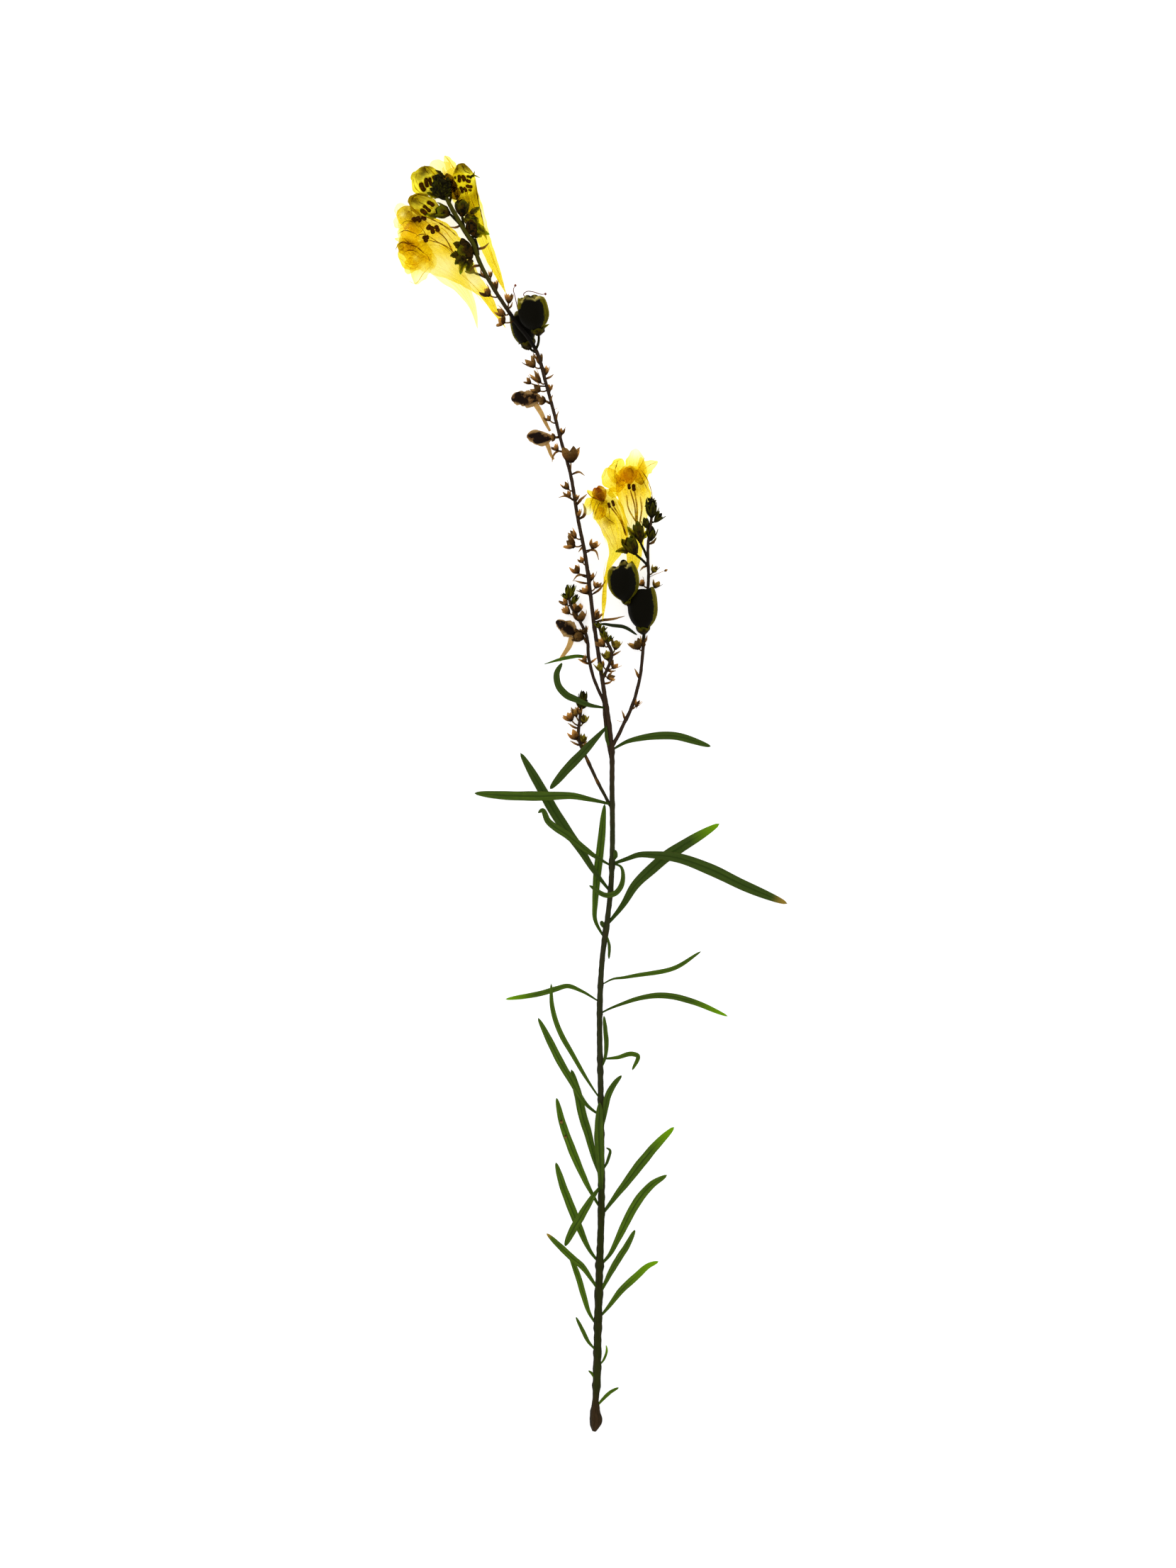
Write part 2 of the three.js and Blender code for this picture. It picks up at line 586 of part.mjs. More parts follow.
// Cups on their pedicels along an axis; each cup leans out and towards the tip of its axis.
function cupsAlong(axis, rows) {
  return rows.map(([u, v, wide, high, fromV], i) => {
    const start = at(onAxis(axis, fromV));
    const lift = cupLifts[i % cupLifts.length];
    const centre = at([u, v, Math.max(start.z + lift, (wide / 2) * perPixel + surfaceGap)]);
    const out = centre.clone().sub(start).setZ(0).normalize();
    const lean = out.add(new THREE.Vector3(-0.1, 0.75, 0.12)).normalize();
    const half = (high / 2) * perPixel;
    const base = centre.clone().addScaledVector(lean, -half);
    const tip = centre.clone().addScaledVector(lean, half);
    return cupOnPedicel(start, null, base, tip, (wide / 2) * perPixel);
  });
}

// Bracts along an axis, each keeled along its underside
function bractsAlong(axis, rows) {
  return rows.map(({ route, wide, tip }) => {
    const root = onAxis(axis, route[0][1]);
    const foot = root[2];
    const end = tip ?? foot + bractRise;
    const last = route.length - 1;
    const raised = route.map(([u, v], i) => {
      const share = i / last;
      return [u, v, foot + (end - foot) * share + bractArch * Math.sin(Math.PI * share)];
    });
    raised[0] = root;
    return blade(raised, wide, { steps: route.length, keeled: true });
  });
}

// An unopened bud inside five pointed sepals; sizes are shares of its radius.
const budShape = {
  waistAt: 0.25, waist: 0.8, // the ring below the sepals
  sepalAt: 0.82, sepal: 1.3, // sepal points
  notchAt: 0.45, notch: 0.9, // notches between them
  throatAt: 0.52, throat: 0.6, // where the bud rises out of the sepals
};
function starBud(base, tip, radius) {
  const frame = frameAlong(base, tip);
  const isSepal = (k) => k % 2 === 0;
  const height = (k) => (isSepal(k) ? budShape.sepalAt : budShape.notchAt);
  const size = (k) => radius * (isSepal(k) ? budShape.sepal : budShape.notch);
  return solidFromRings([
    [base],
    axisRing(base, frame, budShape.waistAt, () => radius * budShape.waist, 5),
    axisRing(base, frame, height, size, 10),
    axisRing(base, frame, budShape.throatAt, () => radius * budShape.throat, 10),
    [tip],
  ]);
}

function budsAlong(axis, rows) {
  return rows.map(({ from, tip, radius }) => {
    const foot = onAxis(axis, from[1]);
    return starBud(at(foot), at([...tip, foot[2] + budRise]), radius);
  });
}

// Leaves raised on the axis; the broad ones are modelled with a full edge, the others with a keel.
const broadLeaf = 1.7;
const leafTilt = 0.3; // most turn of a leaf about its midrib, in radians
function leafSolids() {
  return leaves.map(({ route, wide, rise, tip, steps }) => {
    const root = onAxis(mainAxis, route[0][1]);
    const foot = root[2];
    const last = route.length - 1;
    const rows = route.map(([u, v], i) => {
      const share = i / last;
      return [u, v, foot * (1 - share) + tip * share + rise * Math.sin(Math.PI * share)];
    });
    rows[0] = root;
    const tilt = between(-leafTilt, leafTilt);
    return blade(rows, wide, { steps: steps ?? 6, tilt, keeled: wide < broadLeaf });
  });
}

// Calyces that carry a bloom or a capsule: pedicel start, calyx foot, sepal tips, radius in mm
const calyces = {
  flowerA: {
    from: [679, 372, 6.0], bend: [671, 360, 5.9], foot: [666, 356, 5.7], tip: [643, 355, 5.5], radius: 1.75,
  },
  flowerB: {
    from: [688, 393, 5.7], bend: [676, 385, 3.2], foot: [664, 380, 1.9], tip: [650, 371, 1.5], radius: 1.2,
  },
  budC: {
    from: [634, 288, 7.7], bend: [636, 276, 6.0], foot: [633, 269, 5.0], tip: [619, 262, 4.7], radius: 1.35,
  },
  budD: {
    from: [650, 318, 7.1], bend: [640, 308, 7.2], foot: [635, 303, 6.9], tip: [613, 295, 6.6], radius: 1.35,
  },
  flowerE: {
    from: [655, 322, 7.0], bend: [653, 312, 7.0], foot: [652, 306, 6.9], tip: [652, 280, 6.5], radius: 1.5,
  },
  flowerF: {
    from: [670, 350, 6.3], bend: [667, 335, 4.0], foot: [664, 318, 2.9], tip: [660, 300, 2.3], radius: 1.1,
  },
  capsuleT1: {
    from: [755.5, 494, 5.2], bend: [760, 484, 6.0], foot: [762, 476, 6.6], tip: [760, 462, 6.9], radius: 1.5,
  },
  capsuleT2: {
    from: [756, 497, 5.0], bend: [752, 495, 3.6], foot: [748, 491, 2.65], tip: [744, 480, 2.4], radius: 1.4,
  },
  witheredW1: {
    from: [778, 570, 4.05], bend: [774, 568, 3.8], foot: [770, 566, 3.5], tip: [760, 564, 3.15], radius: 0.85,
  },
  witheredW2: {
    from: [789, 616, 3.85], bend: [786, 617, 3.7], foot: [784, 617, 3.6], tip: [776, 617, 3.4], radius: 0.75,
  },
};
const sideCalyces = {
  flowerG: {
    from: [913, 797, 3.0], bend: [905, 789, 5.6], foot: [898, 782, 6.5], tip: [884, 758, 7.0], radius: 1.45,
  },
  flowerH: {
    from: [914, 789, 3.7], bend: [909, 777, 5.4], foot: [904, 766, 5.9], tip: [897, 737, 5.6], radius: 0.95,
  },
  capsuleR1: {
    from: [908, 901, 1.3], bend: [908, 898, 2.6], foot: [908, 895, 3.9], tip: [907, 880, 4.4], radius: 1.35,
  },
  capsuleR2: {
    from: [910, 884, 1.1], bend: [886, 874, 2.2], foot: [878, 857, 5.5], tip: [880, 845, 6.9], radius: 1.35,
  },
};
const upperLeftCalyces = {
  witheredW3: {
    from: [829, 906, 1.5], bend: [825, 903, 1.7], foot: [822, 901, 1.8], tip: [811, 896, 1.8], radius: 0.85,
  },
};

function calyx({ from, bend, foot, tip, radius }) {
  return cupOnPedicel(at(from), at(bend), at(foot), at(tip), radius);
}

// Cuts the seat of a bloom or a capsule.
function calyxSeat({ from, bend, foot, tip, radius }) {
  return cupRoom(at(from), at(bend), at(foot), at(tip), radius, seatGrow);
}
const calyxSet = (table) => Object.values(table).map((row) => calyx(row));

// The dense head of unopened buds and bracts at the tip of the main raceme. Its buds climb round
// the core in a spiral and lean further up the higher they stand.
const head = {
  centre: [622, 264, 8.3], coreFoot: [628, 280, 7.9], coreTip: [617, 248, 8.6], coreRadius: 1.1,
  buds: 9, budRadius: 0.55, shortest: 1.7, longest: 2.2, // millimetres
  footShift: [0.5, -1.6], footClimb: [-0.9, 1.5], // where the first bud's foot is and how far the feet climb
  lean: 0.45, flatness: 0.55,
};
function budHead() {
  const middle = at(head.centre);
  const pieces = [spindle(at(head.coreFoot), at(head.coreTip), head.coreRadius)];
  for (let k = 0; k < head.buds; k++) {
    const turn = (k * goldenTurn) % (2 * Math.PI);
    const share = k / (head.buds - 1);
    const out = new THREE.Vector3(Math.cos(turn), head.lean + share, Math.sin(turn) * head.flatness);
    out.normalize();
    const shift = [0, 1].map((i) => head.footShift[i] + share * head.footClimb[i]);
    const foot = middle.clone().add(new THREE.Vector3(...shift, 0));
    const tip = foot.clone().addScaledVector(out, between(head.shortest, head.longest));
    pieces.push(spike(foot, tip, head.budRadius, 4));
  }
  return pieces;
}

// The round young pod beside the head, on its short stalk
const pod = { foot: [670, 336, 6.5], tip: [660, 310, 6.7], radius: 1.3 };
const podStalk = [[675, 362, 6.1, stalkRadius], [673, 347, 6.4, stalkRadius], [669, 334, 6.5, stalkRadius]];
function youngPod() {
  const body = spindle(at(pod.foot), at(pod.tip), pod.radius, { sides: 8, fullness: 0.9 });
  return [stalk(podStalk, { sides: 4 }), body];
}

function leafyStem() {
  const whole = join([
    stalk(mainAxis, { sides: 6 }),
    ...leafSolids(),
    ...cupsAlong(mainAxis, mainCups),
    ...bractsAlong(mainAxis, mainBracts),
    stalk(middleAxis, { sides: 4 }),
    ...cupsAlong(middleAxis, middleCups),
    ...bractsAlong(middleAxis, middleBracts),
    ...calyxSet(calyces),
    ...budHead(),
    ...youngPod(),
  ]);
  return mainBody(whole.subtract(belowSurface()));
}

// Everything below the surface, which leaves small flats where the stem and leaves rest
function belowSurface() {
  const deep = 5;
  const across = 400; // wider than the whole stem
  const box = new THREE.BoxGeometry(across, across, deep).toNonIndexed();
  const spots = box.getAttribute("position");
  const places = [];
  const faces = [];
  const seen = new Map();
  for (let i = 0; i < spots.count; i++) {
    const key = [spots.getX(i), spots.getY(i), spots.getZ(i)].join();
    if (!seen.has(key)) {
      seen.set(key, places.length);
      places.push(new THREE.Vector3(spots.getX(i), spots.getY(i), spots.getZ(i) - deep / 2));
    }
    faces.push(seen.get(key));
  }
  return manifoldOf(places, faces);
}

// A side spray, cut back from the main axis so that it sits in its axil
function spray(axis, cups, bracts, buds, carried = {}) {
  const whole = join([
    stalk(axis, { sides: 4 }),
    ...cupsAlong(axis, cups),
    ...bractsAlong(axis, bracts),
    ...budsAlong(axis, buds),
    ...calyxSet(carried),
  ]);
  return mainBody(whole.subtract(stalk(mainAxis, { sides: 6, grow: clearance })));
}

// Corollas. rows run from the spur's tip to the mouth: u, v, height, half width, half height in mm.
const corollas = {
  flower_a_corolla: {
    rows: [
      [713, 462, 1.6, 0.05, 0.05], [697, 436, 2.4, 0.65, 0.6], [683, 413, 2.9, 1.15, 0.9],
      [663, 394, 4.3, 2.0, 1.3], [643, 374, 5.0, 3.5, 1.9], [622, 356, 5.4, 5.0, 2.3],
      [600, 342, 5.5, 5.2, 2.4], [582, 332, 5.5, 4.3, 2.2],
    ],
    seat: calyces.flowerA,
    mouth: "flower_a_palate",
    paint: petalYellow,
    lobes: [
      { route: [[598, 322, 6.4], [579, 306, 4.7], [562, 299, 4.6]], wide: 4.6 },
      { route: [[582, 346, 6.2], [568, 344, 6.6], [559, 349, 6.5]], wide: 3.4 },
      { route: [[586, 354, 4.4], [573, 368, 3.9], [577, 386, 3.7]], wide: 4.2 },
      { route: [[594, 356, 6.4], [595, 376, 6.7], [600, 391, 6.6]], wide: 4.0 },
    ],
  },
  flower_b_corolla: {
    rows: [
      [673.5, 463, 0.4, 0.05, 0.05], [669, 440, 0.65, 0.55, 0.5], [661, 420, 0.85, 1.0, 0.7],
      [650, 402, 1.0, 1.7, 0.85], [632, 380, 1.15, 2.7, 1.0], [610, 352, 1.2, 3.6, 1.05],
      [590, 325, 1.2, 3.5, 1.05], [578, 308, 1.15, 2.8, 0.95],
    ],
    seat: calyces.flowerB,
    paint: petalPale,
    lobes: [
      { route: [[582, 314, 1.8], [568, 298, 1.5], [560, 287, 1.3]], wide: 3.2 },
      { route: [[576, 318, 0.7], [563, 312, 0.6], [557, 306, 0.6]], wide: 2.6 },
    ],
  },
  bud_c_corolla: {
    rows: [
      [629, 265, 4.8, 0.05, 0.05], [622, 262, 4.75, 1.5, 1.1], [609, 258, 4.7, 2.7, 1.7],
      [597, 254, 4.7, 3.0, 1.9], [588, 250, 4.7, 2.3, 1.5], [583, 248, 4.7, 0.9, 0.8],
    ],
    seat: calyces.budC,
    paint: budYellow,
    lobes: [],
  },
  bud_d_corolla: {
    rows: [
      [624, 299, 6.7, 0.05, 0.05], [615, 297, 6.7, 1.3, 1.0], [603, 292, 6.6, 2.0, 1.5],
      [592, 288, 6.6, 2.1, 1.6], [584, 284, 6.6, 1.6, 1.3], [579, 282, 6.6, 0.85, 0.75],
    ],
    seat: calyces.budD,
    paint: budYellow,
    lobes: [],
  },
  flower_e_corolla: {
    rows: [
      [687, 338, 3.9, 0.05, 0.05], [678, 318, 4.3, 0.7, 0.55], [669, 298, 5.1, 1.3, 0.9],
      [661, 282, 5.8, 2.1, 1.4], [656, 264, 6.2, 2.35, 1.8], [653, 247, 6.2, 2.1, 1.6],
      [650, 234, 6.2, 0.9, 0.8],
    ],
    seat: calyces.flowerE,
    paint: budYellow,
    lobes: [],
  },
  flower_f_corolla: {
    rows: [
      [713.5, 413.5, 2.6, 0.05, 0.05], [703, 388, 2.3, 0.65, 0.5], [692, 362, 2.0, 1.05, 0.7],
      [682, 336, 1.75, 1.3, 0.8], [673, 312, 1.5, 1.8, 1.0], [662, 288, 1.35, 2.3, 1.1],
      [648, 264, 1.3, 2.5, 1.15], [634, 247, 1.3, 2.2, 1.1],
    ],
    seat: calyces.flowerF,
    paint: petalPale,
    lobes: [
      { route: [[634, 252, 1.2], [620, 236, 1.2], [606, 228, 1.0]], wide: 3.6 },
      { route: [[639, 250, 1.9], [634, 232, 2.0], [628, 219, 2.0]], wide: 3.0 },
    ],
  },
  flower_g_corolla: {
    rows: [
      [850, 877, 4.6, 0.05, 0.05], [852, 850, 4.7, 0.42, 0.4], [854, 822, 4.9, 0.42, 0.4],
      [859, 799, 5.5, 0.5, 0.5], [868, 777, 6.6, 1.3, 1.0], [869, 756, 7.0, 2.2, 1.7],
      [863, 735, 7.1, 2.8, 2.1], [855, 715, 7.1, 2.8, 2.1], [848, 701, 7.1, 2.3, 1.8],
    ],
    seat: sideCalyces.flowerG,
    mouth: "flower_g_palate",
    paint: petalYellow,
    lobes: [
      { route: [[843, 703, 8.4], [834, 697, 8.8], [828, 693, 8.6]], wide: 1.6 },
      { route: [[840, 708, 7.2], [832, 712, 7.6], [829, 726, 7.4]], wide: 2.4 },
      { route: [[846, 714, 8.8], [841, 722, 9.2], [842, 732, 9.0]], wide: 2.0 },
      { route: [[860, 700, 6.4], [866, 694, 6.2], [870, 689, 5.8]], wide: 2.2 },
    ],
  },
  flower_h_corolla: {
    rows: [
      [884, 850, 1.0, 0.05, 0.05], [888, 828, 1.2, 0.5, 0.45], [892, 806, 1.7, 0.9, 0.7],
      [894, 786, 2.4, 1.4, 1.1], [896, 762, 2.9, 1.7, 1.45], [896, 738, 3.2, 2.2, 1.7],
      [896, 714, 3.4, 2.9, 2.1], [893, 690, 3.5, 3.3, 2.3], [889, 668, 3.5, 2.8, 2.0],
    ],
    seat: sideCalyces.flowerH,
    mouth: "flower_h_palate",
    paint: petalYellow,
    lobes: [
      { route: [[876, 688, 3.4], [861, 676, 3.2], [856, 662, 3.0]], wide: 3.6 },
      { route: [[880, 682, 5.0], [869, 664, 5.5], [876, 649, 5.5]], wide: 3.8 },
      { route: [[895, 680, 5.2], [897, 654, 5.6], [899, 634, 5.5]], wide: 3.6 },
      { route: [[904, 682, 4.0], [913, 662, 4.3], [928, 652, 4.4]], wide: 2.6 },
    ],
  },
};

// The tube and spur as an open-mouthed shell; where it is too narrow for two walls it is solid.
const twoWalls = corollaWall * 1.9;
function corollaShell(rows, sides) {
  const line = stations(rows, rows.length - 1);
  const outer = line.map((s) => (s.t === 0 ? [s.place] : ringAt(s, ellipse(s.values[0], s.values[1], sides))));
  const roomy = line.filter((s) => Math.min(...s.values) > twoWalls);
  const inner = roomy.map((s) => {
    const [wide, high] = s.values;
    return ringAt(s, ellipse(wide - corollaWall, high - corollaWall, sides));
  });
  inner.reverse();
  return solidFromRings([...outer, ...inner]);
}

function corolla({ rows, lobes, seat, mouth }) {
  const shell = corollaShell(rows, 8);
  const petals = lobes.map(({ route, wide }) =>
    blade(route, wide, { steps: 2, widthAt: lobeWidth, thick: petalThick, slim: true, blunt: true }),
  );
  const whole = join([shell, ...petals]).subtract(calyxSeat(seat)).subtract(belowSurface());
  return mainBody(mouth ? whole.subtract(palate(palates[mouth], seatGrow)) : whole);
}

// Swollen orange palates that close the mouths: foot, tip, radius in mm
const palates = {
  flower_a_palate: { foot: [592, 338, 5.5], tip: [563, 322, 5.8], radius: 1.6 },
  flower_g_palate: { foot: [852, 708, 7.1], tip: [841, 687, 7.6], radius: 1.15 },
  flower_h_palate: { foot: [889, 684, 3.5], tip: [884, 657, 3.6], radius: 1.4 },
};

// Two humps side by side, grown together
const humpShift = 0.45; // each hump's end stands off the middle by this share of the radius
function palate({ foot, tip, radius }, grow = 0) {
  const base = at(foot);
  const end = at(tip);
  const frame = frameAlong(base, end);
  const hump = (side) => {
    const shift = frame.across.clone().multiplyScalar(side * radius * humpShift);
    const shape = { sides: 7, fullness: 0.6, grow, blunt: true };
    return spindle(base.clone(), end.clone().add(shift), radius, shape);
  };
  return hump(-1).add(hump(1));
}

// Anthers on their filaments: the foot inside the tube, then each anther's foot and tip
const stamens = {
  flower_a_stamens: {
    foot: [634, 360, 5.3],
    anthers: [
      [[618, 322, 5.4], [604, 323, 5.4]],
      [[612, 330, 6.0], [606, 318, 6.0]],
      [[603, 343, 5.2], [598, 332, 5.2]],
    ],
  },
  bud_c_stamens: {
    foot: [617, 261, 4.7],
    anthers: [
      [[607, 263, 4.4], [604, 251, 4.4]],
      [[611, 260, 5.1], [608, 249, 5.1]],
      [[600, 267, 4.7], [594, 259, 4.7]],
    ],
  },
  bud_d_stamens: {
    foot: [611, 296, 6.6],
    anthers: [[[603, 296, 6.5], [597, 291, 6.5]], [[606, 290, 6.7], [600, 285, 6.7]]],
  },
  flower_e_stamens: {
    foot: [659, 276, 6.0],
    anthers: [
      [[652, 257, 6.0], [650, 245, 6.0]],
      [[661, 258, 6.4], [657, 248, 6.4]],
      [[653, 270, 6.2], [660, 264, 6.2]],
    ],
  },
  flower_g_stamens: {
    foot: [873, 754, 7.0],
    anthers: [[[859, 716, 7.4], [858, 704, 7.4]], [[864, 720, 6.8], [862, 708, 6.8]]],
  },
  flower_h_stamens: {
    foot: [897, 752, 3.0],
    anthers: [[[889, 699, 3.3], [888, 687, 3.3]], [[896, 700, 3.7], [895, 688, 3.7]]],
  },
};

const filamentSpread = 0.45; // distance between neighbouring filaments on their common foot
const stamenFoot = 0.4; // radius of that foot
function stamenGroup({ foot, anthers }) {
  const base = at(foot);
  const outward = at(anthers[0][0]).sub(base);
  const side = new THREE.Vector3(0, 0, 1).cross(outward).normalize();
  const reach = side.clone().multiplyScalar((filamentSpread * anthers.length) / 2);
  const pieces = [spindle(base.clone().sub(reach), base.clone().add(reach), stamenFoot, { sides: 4 })];
  const sideways = ([low]) => at(low).sub(base).dot(side);
  const ordered = [...anthers].sort((a, b) => sideways(a) - sideways(b));
  ordered.forEach(([low, high], i) => {
    const root = base.clone().addScaledVector(side, filamentSpread * (i - (anthers.length - 1) / 2));
    const start = at(low);
    const frame = frameAlong(start, at(high));
    const thread = axisRing(root, frameAlong(root, start), 0, () => filamentRadius, 4);
    const neck = axisRing(start, frame, 0, () => filamentRadius, 4);
    const body = axisRing(start, frame, 0.55, () => antherRadius, 4);
    pieces.push(solidFromRings([thread, neck, body, [at(high)]]));
  });
  return join(pieces);
}

// Capsules: foot in the calyx, plane of the teeth round the open mouth, radius in mm
const capsules = {
  capsule_t1: { foot: [761, 470, 6.9], tip: [752, 417, 7.1], radius: 2.85, seat: calyces.capsuleT1 },
  capsule_t2: { foot: [745, 487, 2.4], tip: [729, 440, 2.35], radius: 2.3, seat: calyces.capsuleT2 },
  capsule_r1: { foot: [908, 889, 4.4], tip: [906, 829, 4.5], radius: 2.85, seat: sideCalyces.capsuleR1 },
  capsule_r2: { foot: [882, 848, 7.0], tip: [877, 792, 7.0], radius: 3.0, seat: sideCalyces.capsuleR2 },
};
const capsuleProfile = [[0.07, 0.42], [0.25, 0.82], [0.5, 1], [0.75, 0.94]]; // share of length, of radius
const capsuleSides = 10;
const capsuleFloor = 0.16; // share of the length where the hollow starts
const toothSize = 0.6; // radius at the points of the teeth and in the notches, as shares
const notchSize = 0.78;
const notchAt = 0.86; // height of the notches
const lipDrop = 0.05; // the inner edge of the rim stands lower than the outer one
const lipWidth = 0.35; // millimetres
const seedMassSides = 8;

function capsuleShell({ foot, tip, radius, seat }) {
  const base = at(foot);
  const frame = frameAlong(base, at(tip));
  const ring = (share, size) => axisRing(base, frame, share, () => size, capsuleSides);
  const outer = capsuleProfile.map(([share, size]) => ring(share, radius * size));
  const isTooth = (k) => k % 2 === 0;
  const height = (k) => (isTooth(k) ? 1 : notchAt);
  const size = (k) => radius * (isTooth(k) ? toothSize : notchSize);
  const teeth = axisRing(base, frame, height, size, capsuleSides);
  const lip = axisRing(base, frame, (k) => height(k) - lipDrop, (k) => size(k) - lipWidth, capsuleSides);
  const inner = capsuleProfile.slice(1).map(([share, part]) => ring(share, radius * part - capsuleWall));
  inner.reverse();
  const floor = base.clone().addScaledVector(frame.along, frame.length * capsuleFloor);
  const whole = solidFromRings([[base.clone()], ...outer, teeth, lip, ...inner, [floor]]);
  return mainBody(whole.subtract(calyxSeat(seat)));
}

// The packed seeds: a bumpy mass that fills the shell short of its wall
const seedLevels = [[0.29, 0.83], [0.48, 0.98], [0.66, 0.95], [0.81, 0.7]]; // share of length, of radius
const seedFoot = 0.22; // shares of the length where the mass starts and ends
const seedTop = 0.9;
const wallGap = 0.1; // more room between the mass and the wall
function seedMass({ foot, tip, radius }) {
  const base = at(foot);
  const frame = frameAlong(base, at(tip));
  const room = capsuleWall + clearance + wallGap;
  const rings = seedLevels.map(([share, size]) =>
    axisRing(base, frame, share, () => (radius * size - room) * between(0.84, 1), seedMassSides),
  );
  const end = (share) => [base.clone().addScaledVector(frame.along, frame.length * share)];
  return solidFromRings([end(seedFoot), ...rings, end(seedTop)]);
}

// Withered flowers, shrunk and crumpled: rows of u, v, height, half width, half height
const withered = {
  withered_flower_w1: {
    rows: [
      [764, 564, 3.1, 0.5, 0.5], [755, 562, 3.0, 1.2, 0.9], [744, 563, 3.0, 1.5, 1.2],
      [731, 562, 3.0, 1.25, 1.1], [721, 562, 3.0, 0.8, 0.8],
    ],
    spur: [[754, 568, 3.0, 0.55], [763, 582, 2.9, 0.5], [770, 597, 2.8, 0.36], [776, 608, 2.7, 0.25]],
    seat: calyces.witheredW1,
  },
  withered_flower_w2: {
    rows: [
      [779, 617, 3.4, 0.5, 0.5], [770, 618, 3.4, 1.15, 0.9], [760, 618, 3.3, 1.45, 1.1],
      [750, 616, 3.2, 1.1, 1.0], [743, 615, 3.1, 0.6, 0.6],
    ],
    spur: [[770, 622, 3.3, 0.5], [774, 632, 3.1, 0.42], [777, 641, 3.0, 0.32], [781, 648, 2.9, 0.24]],
    seat: calyces.witheredW2,
  },
  withered_flower_w3: {
    rows: [
      [812, 894, 1.8, 0.75, 0.7], [806, 890, 1.9, 1.4, 1.1], [798, 885, 1.9, 1.35, 1.1],
      [791, 880, 1.8, 0.95, 0.9], [784, 876.5, 1.7, 0.65, 0.65],
    ],
    spur: [[805, 896, 1.7, 0.55], [801, 912, 1.4, 0.5], [793, 926, 1.2, 0.36], [786, 938, 1.1, 0.25]],
    seat: upperLeftCalyces.witheredW3,
  },
};

// Each corner of a withered flower's rings is drawn in or out by its own share.
const crumpleLeast = 0.78;
const crumpleMost = 1.1;
function witheredFlower({ rows, spur, seat }) {
  const sides = 6;
  const rings = stations(rows, 6).map((s) => {
    const crumple = ellipse(s.values[0], s.values[1], sides).map(([a, b]) => {
      const size = between(crumpleLeast, crumpleMost);
      return [a * size, b * size];
    });
    return ringAt(s, crumple);
  });
  const whole = solidFromRings(rings).add(stalk(spur, { sides: 4, steps: 3 }));
  return mainBody(whole.subtract(calyxSeat(seat)));
}

// Placing the pieces
const toadflax = new THREE.Group();

function place(name, solid, material) {
  const { vertProperties, triVerts } = solid.getMesh();
  const geometry = new THREE.BufferGeometry();
  geometry.setAttribute("position", new THREE.BufferAttribute(vertProperties, 3));
  geometry.setIndex(new THREE.BufferAttribute(triVerts, 1));
  geometry.computeVertexNormals();
  const mesh = new THREE.Mesh(geometry, material);
  mesh.name = name;
  toadflax.add(mesh);
}

const rightRaceme = spray(rightAxis, rightCups, rightBracts, rightBuds, sideCalyces);
const upperLeftRaceme = spray(upperLeftAxis, upperLeftCups, upperLeftBracts, upperLeftBuds, upperLeftCalyces);
const lowerLeftRaceme = spray(lowerLeftAxis, lowerLeftCups, lowerLeftBracts, lowerLeftBuds);
place("leafy_stem", leafyStem(), stemGreen);
place("right_raceme", rightRaceme, stalkBrown);
place("upper_left_raceme", upperLeftRaceme, stalkBrown);
place("lower_left_raceme", lowerLeftRaceme, stalkBrown);
for (const [name, row] of Object.entries(corollas)) place(name, corolla(row), row.paint);
for (const [name, row] of Object.entries(palates)) place(name, palate(row), palateOrange);
for (const [name, row] of Object.entries(stamens)) place(name, stamenGroup(row), antherBrown);
for (const [name, row] of Object.entries(capsules)) {
  place(name, capsuleShell(row), capsuleGreen);
  place(name + "_seeds", seedMass(row), seedBlack);
}
for (const [name, row] of Object.entries(withered)) place(name, witheredFlower(row), witheredTan);

export default toadflax;
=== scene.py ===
import bpy
import numpy as np
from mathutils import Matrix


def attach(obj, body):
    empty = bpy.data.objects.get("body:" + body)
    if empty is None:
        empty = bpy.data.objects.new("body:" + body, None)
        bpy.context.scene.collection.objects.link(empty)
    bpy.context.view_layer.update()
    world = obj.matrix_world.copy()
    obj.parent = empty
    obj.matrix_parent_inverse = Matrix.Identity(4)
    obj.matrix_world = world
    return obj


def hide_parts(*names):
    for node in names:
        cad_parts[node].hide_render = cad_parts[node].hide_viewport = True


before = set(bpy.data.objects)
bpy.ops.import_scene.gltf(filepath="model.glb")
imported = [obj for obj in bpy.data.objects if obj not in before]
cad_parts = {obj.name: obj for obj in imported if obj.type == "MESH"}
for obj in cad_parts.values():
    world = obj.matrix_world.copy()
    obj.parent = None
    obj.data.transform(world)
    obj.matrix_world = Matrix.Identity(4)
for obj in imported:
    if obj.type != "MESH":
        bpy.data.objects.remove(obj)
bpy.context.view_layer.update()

# One picture pixel is 0.14 mm of the stem; u runs right, v runs down, heights are in mm.
pixel = 0.00014
mm = 0.001
midU, midV = 833.0, 1119.0
overTable = 0.00001  # nothing lies lower than this, in metres
goldenTurn = 2.39996  # from one bud or seed to the next round a head, in radians
plain = (0.5, 0, 0)  # the trait of a piece whose finish asks for none


def toPlace(rows):
    # Columns u, v, height become x, y, z in metres; further columns are millimetres too.
    rows = np.atleast_2d(np.asarray(rows, float))
    flat = np.stack([(rows[:, 0] - midU) * pixel, (midV - rows[:, 1]) * pixel], axis=1)
    return np.concatenate([flat, rows[:, 2:] * mm], axis=1)


def spotAt(place):
    # One u, v and height as a point in metres
    return toPlace([place])[0]


def unit(vectors):
    return vectors / np.maximum(np.linalg.norm(vectors, axis=-1, keepdims=True), 1e-12)


